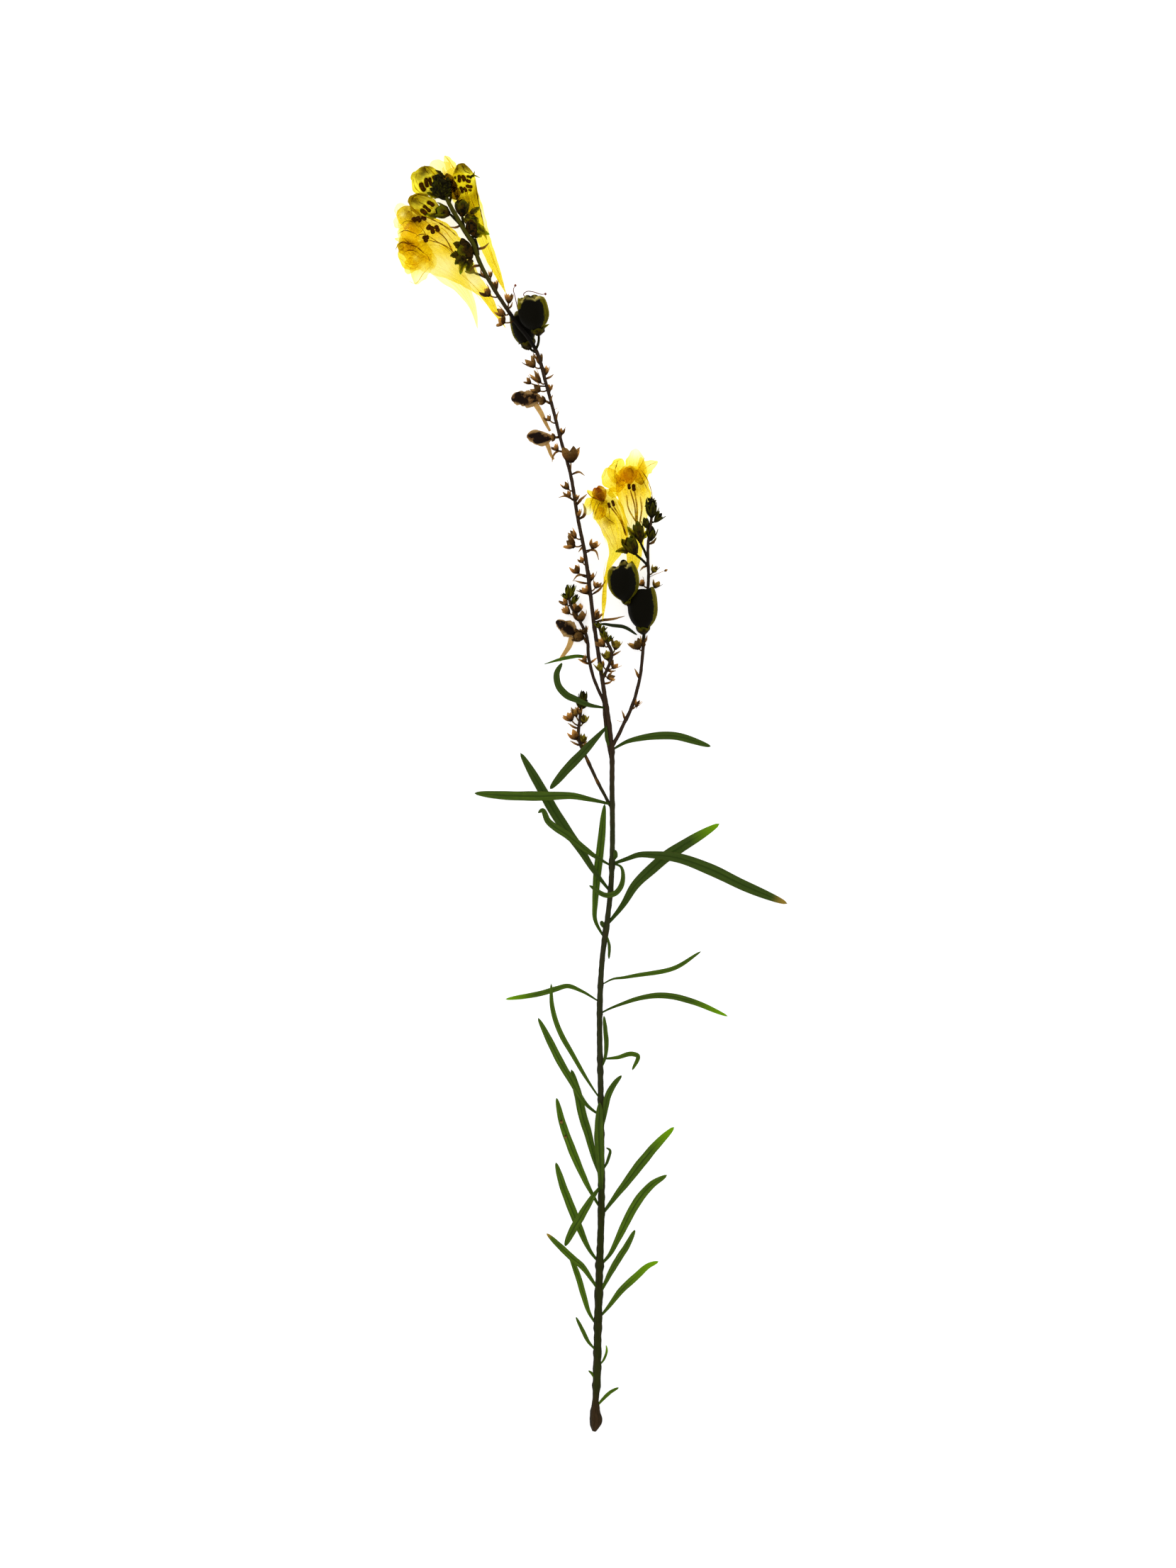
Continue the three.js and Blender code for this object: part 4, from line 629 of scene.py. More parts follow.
# Leaves: the route from the foot to the tip in picture pixels, width in mm, the height added half
# way and the height of the tip, then how fresh or dry the tip is.
leafSet = {
    "grow": 0.08, "low": 0.32, "stations": 56, "sides": 16, "thick": 0.34, "edge": 0.35, "fold": 0.12,
    "twist": 0.15, "uneven": 0.05,
}
leaves = [
    (((845, 1987), (850.5, 1974.5), (861, 1964.5), (873, 1958)), 0.62, 0.6, 1.6),
    (((838, 1955), (835, 1938), (830, 1934)), 0.45, 0.4, 1.5),
    (((848, 1930), (852.5, 1917), (856, 1903.5), (855, 1898)), 0.37, 0.5, 2.4, 0.6, 0),
    (((838, 1908), (829.5, 1892), (821.5, 1876), (812.5, 1858)), 0.69, 1.2, 3.2),
    (((837, 1873), (831.5, 1853), (822.5, 1825), (814, 1796.5), (803, 1770)), 1.11, 0.3, 1.2),
    (((849, 1861), (859.5, 1842.5), (875, 1822), (895, 1803), (914.5, 1786), (929, 1780)), 1.32, 1.8, 1.4,
     0.9, 0),
    (((840, 1822), (833.5, 1803.5), (821, 1786), (805.5, 1773), (790, 1758), (771, 1740)), 1.24, 1.8, 4.2, 0,
     1),
    (((850, 1829), (859.5, 1798.5), (870.5, 1779), (883, 1759.5), (896, 1735)), 1.25, 2, 3.4),
    (((851, 1786), (859, 1771.5), (873.5, 1744), (888, 1714), (903.5, 1689), (919.5, 1671.5), (941, 1658)),
     1.67, 2.4, 1),
    (((842, 1783), (832.5, 1765), (818.5, 1735), (806, 1704.5), (794.5, 1674.5), (784, 1640)), 1.55, 0.2,
     2.2),
    (((845, 1672), (835, 1690), (820, 1715), (808, 1735), (797, 1758)), 1.55, 2.6, 4),
    (((853, 1715), (870.5, 1685), (887, 1663.5), (906.5, 1638), (927, 1614), (951, 1590)), 1.8, 1.6, 3.6,
     0.5, 0),
    (((845, 1707), (832.5, 1679.5), (818.5, 1650), (804, 1614.5), (793.5, 1585), (785, 1549)), 1.49, 0.6,
     0.9),
    (((845, 1665), (840, 1640), (831, 1605), (821, 1570.5), (815.5, 1545), (806, 1509)), 1.65, -0.4, 1.2),
    (((849, 1690), (847, 1650), (845, 1600), (846, 1555)), 1.8, 1.6, 4.2),
    (((852, 1600), (853, 1570), (858, 1545), (866, 1530), (877, 1517)), 1.2, 0.6, 4),
    (((855, 1655), (858, 1635), (860, 1622), (855, 1619)), 0.5, 0.8, 4.2),
    (((843, 1575), (829.5, 1560.5), (802.5, 1518.5), (789, 1495.5), (776.5, 1470.5), (759, 1436)), 1.4, 2, 2),
    (((844, 1552), (835, 1533.5), (820, 1509), (805.5, 1483.5), (792.5, 1461), (779, 1420), (777.5, 1387)),
     0.95, 2.2, 4.6),
    (((851, 1494), (870, 1492), (893, 1487), (899, 1489), (892, 1510)), 0.85, 1, 2.4),
    (((852, 1510), (853.5, 1492.5), (855.5, 1475), (854, 1453.5), (852, 1433)), 0.83, 0.9, 4.1),
    (((851, 1430), (860, 1423), (880.5, 1415), (900.5, 1408.5), (925, 1404.5), (950, 1406), (975, 1412.5),
     (1027, 1434)), 1.14, 2, 0.8, 0.5, 0),
    (((843, 1414), (820, 1398), (800, 1391), (785, 1395), (765, 1401), (713, 1410)), 1.0, 1.4, 0.6, 0.5, 0),
    (((851, 1390), (865, 1381), (880, 1379), (900, 1375.5), (925, 1372), (950, 1366), (989, 1342)), 0.83,
     1.2, 4.4),
    (((855, 1315), (859.5, 1335), (859, 1353)), 0.5, 0.5, 4.2),
    (((849, 1325), (839, 1295), (839.5, 1275), (841, 1250), (843.5, 1225), (847, 1195), (853, 1134)), 1.5,
     -1.7, 2.3),
    (((861, 1305), (880, 1275), (895, 1250), (915, 1230), (935, 1212), (960, 1195), (985, 1180), (1015,
     1162)), 2.2, -0.7, 2.6, 0.35, 0),
    (((868, 1219), (886, 1211), (900.5, 1206), (925, 1206), (950, 1209), (1000, 1225.5), (1050, 1249.5),
     (1111, 1275)), 2.23, 4.3, 0.1, 0, 0.9),
    (((866, 1218), (876, 1223), (879, 1235), (876, 1250), (868, 1260), (858, 1263), (831, 1249)), 1.0, 1.5,
     4.9),
    (((859, 1258), (835, 1224), (820, 1200), (800, 1172), (780, 1142), (765, 1115), (734, 1062)), 2.0, -0.4,
     1.1),
    (((860, 1222), (835, 1205), (818, 1192), (800, 1178), (773, 1158), (765, 1143), (759, 1147)), 1.35, 2,
     3.9),
    (((859, 1135), (830, 1127), (810, 1123), (770, 1123), (740, 1123), (710, 1122), (669, 1119)), 1.8, 3.2,
     0.1),
    (((857, 1022), (841, 1041), (821, 1063), (802.5, 1082), (776, 1113)), 1.74, 2.4, 2.6),
    (((867, 1058), (885, 1046), (905, 1041), (950, 1038), (1003, 1053)), 1.49, 0.2, 0.8),
    (((852, 999), (829.5, 994), (814, 987.5), (798.5, 980), (787.5, 966.5), (785.5, 950), (793, 935)), 1.32,
     1.6, 3.4),
    (((841, 884), (850, 880.5), (865, 882.5), (880, 884.5), (899, 896)), 0.6, 1.2, 5, -0.8, 0),
    (((860, 1060), (856, 1042), (855, 1025)), 0.6, 0.2, 3.9),
    (((865, 1214), (868, 1208), (868, 1199)), 0.8, 0.4, 4),
    (((855, 1310), (850, 1304), (848, 1299)), 0.8, 0.2, 3.6),
]


def blade(line, half, sheet, finish, trait, seed, thin=1.0, bend=1.0, turned=1.0):
    # A thin closed sheet round a line: thickest at the midrib, folded along it, and turned about
    # it from foot to tip. half holds half the width at each station, in metres.
    turn = turnOf(sheet["sides"])
    c, s = np.cos(turn), np.sin(turn)
    share = np.linspace(0, 1, len(line))
    draw = np.random.default_rng(seed)
    waves = sum(np.sin(share[:, None] * k * draw.uniform(8, 14) + draw.uniform(0, 6.28, 2)[None])
                for k in (1, 2, 3)) / 3
    left, right = 1 + sheet["uneven"] * waves[:, 0:1], 1 + sheet["uneven"] * waves[:, 1:2]
    across = half[:, None] * c * np.where(c > 0, left, right)
    thick = np.reshape(sheet["thick"] * mm * thin, (-1, 1))
    over = thick / 2 * s * (1 - (1 - sheet["edge"]) * c**2) + sheet["fold"] * bend * np.abs(across)
    angle = (sheet["twist"] * turned * (share - 0.3) * 2)[:, None]
    return sweep(line, across * np.cos(angle) - over * np.sin(angle),
                 across * np.sin(angle) + over * np.cos(angle), finish, trait)


def leafWidth(share):
    # A narrow foot, widest past the middle, a short point
    swell = 0.24 + 0.76 * np.sin(np.minimum(1, share / 0.62) * np.pi / 2) ** 1.2
    return swell * np.sqrt(np.maximum(1 - share**6, 0.0004))


def raisedRoute(route, foot, tip, rise):
    # Heights go evenly from the foot's to the tip's, with rise added half way.
    share = np.linspace(0, 1, len(route))[:, None]
    heights = foot[2] * (1 - share) + tip * share + rise * np.sin(np.pi * share)
    rows = np.concatenate([np.asarray(route, float), heights], axis=1)
    rows[0] = foot
    return rows


def leafPatch(index, route, wide, rise, tip, fresh=0.0, dry=0.0):
    # Leaf by leaf the fold, the turn and the dullness are drawn; the upper leaves are duller.
    draw = np.random.default_rng(100 + index)
    foot = onAxis(mainAxis, route[0][1])
    line = smoothLine(toPlace(raisedRoute(route, foot, tip, rise)), leafSet["stations"])
    line[:, 2] = np.maximum(line[:, 2], leafSet["low"] * mm)
    share = np.linspace(0, 1, leafSet["stations"])
    half = (wide / 2 + leafSet["grow"]) * mm * leafWidth(share)
    bend, turned = draw.choice([-1, 1]) * draw.uniform(0.3, 1), draw.uniform(-1, 1)
    trait = (min(1, draw.uniform(0, 0.45) + index / 70), fresh, dry)
    return blade(line, half, leafSet, leafGreen, trait, 200 + index, 1 - 0.5 * share, bend, turned)


leafPatches = [leafPatch(i, *row) for i, row in enumerate(leaves)]
buildPiece("leaves_lower", leafPatches[:20], "stem_green", "leafy_stem")
buildPiece("leaves_upper", leafPatches[20:], "stem_green", "leafy_stem")


# Calyx cups: a pedicel, a small receptacle and five sepals round a dried rest in the middle
cupSet = {"pedicel": 0.17, "sepalWide": 0.66, "thick": 0.1, "grow": 1.2, "stations": 9, "sides": 8}
cupLifts = [0.1, 0.9, -0.5, 0.5, -0.2]
bractSet = {"stations": 22, "thick": 0.14, "fold": 0.3, "twist": 0.6, "edge": 0.4, "sides": 8, "uneven": 0.1}
flapSet = {"stations": 24, "thick": 0.14, "fold": 0.3, "twist": 0.7, "edge": 0.4, "sides": 12, "uneven": 0.22}


def axisFrame(base, tip):
    along = unit(tip - base)
    helper = np.array([1.0, 0, 0]) if abs(along[2]) > 0.9 else np.array([0, 0, 1.0])
    side = unit(np.cross(helper, along))
    return along, side, np.cross(along, side)


def sepalRing(base, tip, radius, spread, wide, thick, shift, curl, trait, finish, seed, blunt=None):
    # Each of five sepals runs out from the foot and up along the calyx and ends in a point that
    # may curl outwards. It is widest below its middle, or with blunt stays wide until its point.
    draw = np.random.default_rng(seed)
    along, side, up = axisFrame(base, tip)
    length = np.linalg.norm(tip - base)
    share = np.linspace(0, 1, cupSet["stations"])[:, None]
    turn = turnOf(cupSet["sides"])
    if blunt:
        half = np.minimum(1, (1 - share) / blunt) ** 0.8 * (0.5 + 0.5 * np.minimum(1, share / 0.3))
    else:
        half = np.sin(np.pi * np.clip(share * 0.86 + 0.14, 0, 1)) ** 0.9
    across = (wide * radius * half + 0.00001) * np.cos(turn)
    over = thick / 2 * np.sin(turn) * np.ones_like(share) - 0.35 * np.abs(across) ** 2 / max(radius, 1e-6)
    bulge = radius * (0.3 + 0.7 * np.sin(share * np.pi * 0.62)) * (1 + (spread - 1) * share**2)
    bulge = (bulge + curl * radius * share**3) * np.minimum(1, share * 4 + 0.2)
    made = []
    for k in range(5):
        angle = 2 * np.pi * k / 5 + shift + draw.uniform(-0.15, 0.15)
        out = np.cos(angle) * side + np.sin(angle) * up
        line = base + along * length * draw.uniform(0.78, 1.1) * share + out * bulge
        direction = unit(np.gradient(line, axis=0))
        lift = unit(out - direction * (direction @ out)[:, None])
        frames = (np.cross(lift, direction), lift)
        made.append(sweep(line, across, over, finish, (draw.uniform(0, 1), *trait[1:]), frames))
    return made


def spindle(base, tip, radius, finish, trait=plain, seed=1, sides=12, stations=14, rough=0.0, flat=1.0,
            fullness=0.5):
    # A closed drop along an axis; its widest place is at the share called fullness.
    share = np.linspace(0.01, 0.99, stations)
    line = base + (tip - base) * share[:, None]
    swell = np.where(share < fullness, share / fullness, (1 - share) / (1 - fullness))
    size = radius * np.sin(swell * np.pi / 2) ** 0.75
    turn = turnOf(sides)
    along, side, up = axisFrame(base, tip)
    across, over = size[:, None] * np.cos(turn), size[:, None] * np.sin(turn) * flat
    if rough:
        points = line[:, None] + side * across[..., None] + up * over[..., None]
        uneven = 1 + rough * ripple(points, radius * 0.9, seed)
        across, over = across * uneven, over * uneven
    frames = (np.broadcast_to(side, line.shape), np.broadcast_to(up, line.shape))
    return sweep(line, across, over, finish, trait, frames)


def thread(points, radius, finish, trait=plain, sides=6, count=12):
    # A thin stalk through points in metres, with a little taper and rounded ends
    points = np.atleast_2d(points)
    line = smoothLine(points, count)
    share = np.linspace(0, 1, count)[:, None]
    ends = np.sqrt(np.clip(np.minimum(share, 1 - share) / 0.08, 0.05, 1))
    return rod(line, radius * (1.08 - 0.16 * share) * ends, sides, finish, 1.0, trait)


def hairs(routes, radius, finish):
    # Fine threads through picture pixels and heights
    return [thread(toPlace(route), radius * mm, finish, plain, 6, 16) for route in routes]


def dryCup(start, base, tip, radius, seed, dark=0.0, green=0.0):
    # A dried calyx: five overlapping sepals make an urn with short teeth round a shrunken rest.
    draw = np.random.default_rng(seed)
    lot = min(1, draw.uniform(0, 0.55) + dark)
    middle = (start + base) / 2 + np.array([0, -0.00016, 0])
    stalk = [start, middle, base + (tip - base) * 0.1]
    made = [thread(stalk, cupSet["pedicel"] * mm, driedHusk, (0.8, green, 0), 6, 10)]
    core, full = ((0.15, green, 0.5), 0.9) if green > 0.5 else ((0.8, green, 1), 0.66)
    rest = base + (tip - base) * full
    made.append(spindle(base, rest, radius * full, driedHusk, core, seed, 10, 10, 0.2))
    grown, spread = draw.uniform(0.9, 1.05), draw.uniform(0.85, 1.2)
    shift, curl = draw.uniform(0, 1), draw.uniform(0, 0.4)
    return made + sepalRing(base, tip, radius * grown, spread, cupSet["sepalWide"], cupSet["thick"] * mm,
                            shift, curl, (lot, green, 0), driedHusk, seed, 0.45)


def cupsAlong(axis, rows, seed):
    # Centre u, v, width and height in pixels, then the row where the pedicel leaves the axis. Each
    # cup leans out and towards the tip of its axis, at its own height in the spiral.
    made = []
    for i, (u, v, wide, high, fromV, *green) in enumerate(rows):
        start = spotAt(onAxis(axis, fromV))
        centre = spotAt((u, v, 0))
        centre[2] = max(start[2] + cupLifts[i % 5] * mm, wide / 2 * pixel + 0.1 * mm)
        out = unit((centre - start) * [1, 1, 0])
        reach = unit(out + [-0.1, 0.75, 0.12]) * high / 2 * pixel * cupSet["grow"]
        radius = wide / 2 * pixel * cupSet["grow"]
        made += dryCup(start, centre - reach, centre + reach, radius, seed + i, 0.5 if v < 460 else 0, *green)
    return made


def bractsAlong(axis, rows, lot, seed, finish=None):
    # Small leaves: route from the axis, width in mm, and where given the height of the tip
    made = []
    for i, (route, wide, *tip) in enumerate(rows):
        foot = onAxis(axis, route[0][1])
        end = tip[0] if tip else foot[2] + 0.5
        line = smoothLine(toPlace(raisedRoute(route, foot, end, 0.3)), bractSet["stations"])
        share = np.linspace(0, 1, len(line))
        half = wide / 2 * mm * (0.25 + 0.75 * np.sin(np.pi * np.clip(share * 0.9 + 0.1, 0, 1)))
        made.append(blade(line, half, bractSet, finish or driedHusk, (lot, 0, 0), seed + i))
    return made


def greenBud(base, tip, radius, seed, bright):
    # A closed bud with five sepals pressed round it
    draw = np.random.default_rng(seed)
    shift, curl = draw.uniform(0, 1), draw.uniform(0, 0.5)
    made = [spindle(base, tip, radius * 0.9, sepalGreen, (0.9, 0, 0), seed, 12, 12, 0.12)]
    end = base + (tip - base) * 0.95
    return made + sepalRing(base, end, radius * 1.15, 0.9, 0.55, 0.16 * mm, shift, curl, (0.5, bright, 0),
                            sepalGreen, seed)


def budsAlong(axis, rows, seed, bright):
    # Green buds: foot and tip in picture pixels, radius in mm
    made = []
    for i, (fromRow, tip, radius) in enumerate(rows):
        foot = onAxis(axis, fromRow[1])
        start, base, end = toPlace([foot, (*fromRow, foot[2] + 0.1), (*tip, foot[2] + 0.4)])
        if np.linalg.norm(base - start) > 0.0003:
            made.append(thread([start, (start + base) / 2, base], 0.22 * mm, sepalGreen, (1, 0, 0), 6, 6))
        made += greenBud(base, end, radius * mm, seed + i, bright)
    return made


# The main stem and its raceme
nodeRows = [row[0][0][1] for row in leaves]
stem = stemPatch(mainAxis, stemSet["stations"], stemSet["sides"], nodeRows)
buildPiece("main_stem", [stem], "stem_green", "leafy_stem")

mainCups = [
    (843, 868, 9, 12, 872), (842, 825, 10, 9, 834), (835, 812, 8, 12, 822), (825, 833, 10, 10, 838),
    (812, 803, 11, 12, 815), (838, 768, 12, 11, 780), (804, 767, 15, 14, 768), (808, 754, 9, 12, 760),
    (816, 724, 7, 10, 733), (798, 685, 9, 12, 692), (801, 697, 8, 10, 706), (805, 641, 20, 20, 668),
    (793, 608, 7, 9, 617), (784, 632, 8, 8, 637), (773, 590, 8, 8, 597), (757, 533, 9, 16, 541),
    (757, 549, 13, 10, 550), (770, 522, 8, 12, 533), (749, 512, 12, 14, 519), (761, 507, 8, 13, 516),
    (706, 441, 10, 14, 441), (708, 454, 14, 8, 452), (718, 421, 10, 12, 436), (686, 413, 12, 12, 419),
    (699, 403, 7, 12, 414), (820, 790, 8, 8, 797), (813, 702, 6, 8, 709), (776, 547, 6, 8, 556),
    (745, 538, 8, 9, 545), (692, 387, 5, 9, 398),
]
mainBracts = [
    (((837, 878), (850, 875), (865, 873), (881, 869)), 0.6), (((833, 840), (845, 832), (855, 818)), 0.5),
    (((830, 812), (815, 812), (808, 820)), 0.5), (((826, 777), (840, 777), (845, 790)), 0.5),
    (((815, 733), (824, 727), (825, 718), (822, 710)), 0.7), (((811, 714), (820, 704), (828, 697)), 0.65),
    (((808, 706), (797, 700), (788, 702)), 0.5), (((805, 670), (818, 666), (825, 671)), 0.5),
    (((794, 637), (786, 637), (780, 645), (779, 652)), 0.5), (((769, 535), (776, 532), (781, 528)), 0.5),
    (((677, 375), (668, 377), (663, 384)), 0.6), (((672, 352), (682, 350), (690, 343)), 0.6),
    (((650, 318), (642, 322), (634, 321)), 0.5), (((832, 838), (822, 836), (813, 833)), 0.5),
    (((831, 823), (820, 822), (810, 819)), 0.5), (((822, 770), (820, 774), (816, 779)), 0.45),
    (((784, 597), (785, 588), (788, 580)), 0.45), (((778, 570), (777, 563), (780, 557)), 0.45),
    (((759, 508), (754, 503), (752, 498)), 0.45), (((717, 437), (721, 432), (723, 426)), 0.45),
    (((681, 393), (679, 386), (678, 379)), 0.5), (((806, 647), (800, 638), (795, 631)), 1.1),
    (((808, 645), (813, 636), (818, 631)), 1.1),
]
galls = []
for u, v in ((792, 1583), (798, 1604)):
    ends = toPlace([(u - 1, v - 3, 1.95), (u + 1, v + 3, 1.95)])
    galls.append(spindle(*ends, 0.3 * mm, driedHusk, (0.6, 0, 1), 90, 10, 8, 0.2))
# Fine dried hairs and threads: u, v, height
mainHairs = [
    ((791, 612, 3.9), (796, 607, 4.3), (798, 602, 4.6)), ((780, 578, 4), (784, 577, 4.4), (787, 575, 4.6)),
    ((771, 548, 4.4), (777, 550, 4.6), (781, 548, 4.9)), ((757, 500, 5.1), (754, 501, 5.4), (752, 500, 5.6)),
    ((758, 500, 5.1), (762, 502, 5.3), (765, 503, 5.6)),
]
buildPiece("main_cups", cupsAlong(mainAxis, mainCups, 300), "stalk_brown", "leafy_stem")
mainSmall = bractsAlong(mainAxis, mainBracts, 0.7, 340) + hairs(mainHairs, 0.05, driedHusk) + galls
buildPiece("main_bracts", mainSmall, "stalk_brown", "leafy_stem")


def spikes(centre, size, count, seed, bright=0.1):
    # Narrow points that stand out all round a head, more of them at its top. centre is u, v,
    # height; size is its width and height in pixels.
    draw = np.random.default_rng(seed)
    middle = spotAt(centre)
    made = []
    for k in range(count):
        turn = k * goldenTurn
        rise = np.sin(turn * 0.5 + draw.uniform(-0.3, 0.3))
        out = unit(np.array([np.cos(turn), 0.5 + 0.8 * rise, draw.uniform(-0.6, 0.8)]))
        foot = middle + out * [size[0] * 0.36 * pixel, size[1] * 0.36 * pixel, size[0] * 0.2 * pixel]
        end = foot + unit(out + [0, 0.25, 0]) * draw.uniform(3, 6) * pixel
        made.append(spindle(foot, end, 0.2 * mm, sepalGreen, (0.9, bright, 0), seed + k, 6, 7, fullness=0.3))
    return made


# Calyces that carry a bloom or a capsule: the pedicel's start and bend, the calyx's foot and the
# sepals' tips as u, v, height, the radius in mm, and the look where it differs
calyces = {
    "flowerA": ((679, 372, 6), (671, 360, 5.9), (666, 356, 5.7), (643, 355, 5.5), 1.75, (0.8, 0.35, 0.9)),
    "flowerB": ((688, 393, 5.7), (678, 388, 3.2), (669, 384, 1.9), (656, 375, 1.5), 0.85, (0.5, 0.6, 0.8)),
    "budC": ((634, 288, 7.7), (636, 276, 6), (633, 269, 5), (619, 262, 4.7), 1.35, (0.5, 0.6, 0.8)),
    "budD": ((650, 318, 7.1), (640, 308, 7.2), (635, 303, 6.9), (613, 295, 6.6), 1.35, (0.5, 0.6, 0.8)),
    "flowerE": ((655, 322, 7), (653, 312, 7), (652, 306, 6.9), (652, 280, 6.5), 1.35, (0.9, 0.15, 0.9)),
    "flowerF": ((670, 350, 6.3), (667, 335, 4), (664, 318, 2.9), (660, 300, 2.3), 1.1, (0.5, 0.6, 0.8)),
    "capsuleT1": ((755.5, 494, 5.2), (759.5, 484, 6), (760, 474, 6.6), (758, 460, 6.9), 1.3, (0.9, 0.1, 0.4)),
    "capsuleT2": ((756, 497, 5), (752, 495, 3.6), (748, 491, 2.65), (744, 480, 2.4), 1.4, (0.9, 0.1, 0.4)),
    "witheredW1": ((778, 570, 4.05), (774, 568, 3.8), (770, 566, 3.5), (760, 564, 3.15), 0.85, (0.9, 0, 0)),
    "witheredW2": ((789, 616, 3.85), (786, 617, 3.7), (784, 617, 3.6), (776, 617, 3.4), 0.75, (0.9, 0, 0)),
}
sideCalyces = {
    "flowerG": ((913, 797, 3), (905, 789, 5.6), (897, 782, 6.5), (883, 757, 7), 1.4),
    "flowerH": ((914, 789, 3.7), (909, 777, 5.4), (904, 766, 5.9), (898, 734, 5.6), 1.0),
    "capsuleR1": ((908, 901, 1.3), (908, 898, 2.6), (908, 895, 3.9), (907, 880, 4.4), 1.35),
    "capsuleR2": ((910, 884, 1.1), (893, 860, 0.9), (885, 852, 5.0), (882, 843, 6.9), 0.9),
}
witheredCalyx = ((829, 908, 1.5), (826, 904, 1.7), (824, 900, 1.8), (806, 894, 1.9), 1.15)


def calyxPatches(row, finish, seed, look, curl=0.05):
    # A pedicel, a dark core and five blunt sepals
    start, bend, base, tip = toPlace(row[:4])
    radius, reach = row[4] * mm, tip - base
    made = [thread([start, bend, base, base + reach * 0.15], 0.27 * mm, finish, (1, 0, 0), 8, 16)]
    core = (base, base + reach * 0.95, radius * 0.95)
    made.append(spindle(*core, finish, (1, 0, look[2]), seed, 18, 16, 0.12))
    return made + sepalRing(base, base + reach * 0.9, radius * 1.02, 1.0, 0.72, 0.14 * mm, 0.4, curl, look,
                            finish, seed, 0.22)


def flapPatches(rows, seed):
    # Sepals that stand off: broad from the start, with a short point and a ragged edge. The rows
    # hold the route, the width in mm and how bright it is.
    made = []
    for k, (route, wide, bright) in enumerate(rows):
        line = smoothLine(toPlace(route), flapSet["stations"])
        share = np.linspace(0, 1, len(line))
        swell = 0.55 + 0.45 * np.sin(np.pi * np.minimum(1, share / 0.95))
        half = wide / 2 * mm * swell * np.sqrt(1 - share**8 + 0.0004)
        made.append(blade(line, half, flapSet, sepalGreen, (0.4, bright, 0.6), seed + k))
    return made


bloomCalyces = []
for i, (name, (*row, look)) in enumerate(calyces.items()):
    finish = driedHusk if name.startswith("withered") else sepalGreen
    bloomCalyces += calyxPatches(row, finish, 420 + i, look)
capsuleFlaps = [
    (((764, 466, 6.5), (770, 460, 6.6), (775, 457.5, 6.7)), 0.6, 0.7),
    (((745, 488, 2.5), (737, 484, 2.5), (731, 485, 2.5)), 0.8, 0.1),
    (((750, 491, 2.4), (742, 491, 2.4), (735, 489, 2.4)), 0.8, 0.1),
]
bloomCalyces += flapPatches(capsuleFlaps, 436)
buildPiece("bloom_calyces", bloomCalyces, "stem_green", "leafy_stem")

# The dense head of unopened buds at the tip, and the round young pod beside it
headSet = {
    "centre": (622, 264, 8.3), "buds": 30, "reach": (1.3, 2.2), "radius": 0.44, "spikes": 70,
    "size": (32, 40), "core": ((629, 284, 7.8), (616, 247, 8.5)),
    "smooth": ((633, 255, 1.05), (641, 273, 1.3), (638, 263, 1.05)),
}
draw = np.random.default_rng(7)
headCentre = spotAt(headSet["centre"])
core = toPlace(headSet["core"])
headPatches = [spindle(*core, 1.75 * mm, sepalGreen, (1, 0, 0), 6, 22, 20, 0.25, 0.7)]
headPatches += spikes(headSet["centre"], headSet["size"], headSet["spikes"], 460, 0.05)
for k, (u, v, radius) in enumerate(headSet["smooth"]):
    low, high = toPlace([(u + 3, v + 10, 7.7), (u - 3, v - 10, 7.8)])
    smooth = spindle(low, high, radius * mm, petal["budSkin"], (0.85, 0.6, 0), 480 + k, 20, 18, 0.08, 0.75)
    headPatches.append(smooth)
for k in range(headSet["buds"]):
    turn = k * goldenTurn
    share = k / (headSet["buds"] - 1)
    out = unit(np.array([np.cos(turn), 0.35 + share, np.sin(turn) * 0.5]))
    foot = headCentre + np.array([0.5 - share * 0.9, share * 1.7 - 1.9, 0]) * mm
    end = foot + out * draw.uniform(*headSet["reach"]) * mm
    headPatches += greenBud(foot, end, headSet["radius"] * mm, 450 + k, 0.08)
podStalk = toPlace([(675, 362, 6.1), (673, 347, 6.4), (670, 336, 6.5)])
podEnds = toPlace([(669, 334, 6.5), (662, 309, 6.7)])
footEnds = toPlace([(665, 368, 6.3), (651, 336, 6.4)])
headPatches += [
    thread(podStalk, 0.28 * mm, sepalGreen, (1, 0, 0), 8),
    spindle(*podEnds, 1.2 * mm, sepalGreen, (0.8, 0, 0.9), 8, 20, 18, 0.06),
    spindle(*footEnds, 1.35 * mm, sepalGreen, (1, 0, 0.6), 11, 18, 16, 0.15, 0.7),
]
podBlades = [
    ((663, 252, 6.6), (668, 248, 6.7), (672, 249, 6.8), (677, 251.5, 6.8)),
    ((667, 250, 6.7), (668.5, 246, 6.8), (670, 242, 6.9)),
]
for k, route in enumerate(podBlades):
    line = smoothLine(toPlace(route), 16)
    half = np.linspace(0.34, 0.05, 16) * mm
    headPatches.append(blade(line, half, {**bractSet, "twist": 0.5}, sepalGreen, (0.4, 1, 0), 490 + k))
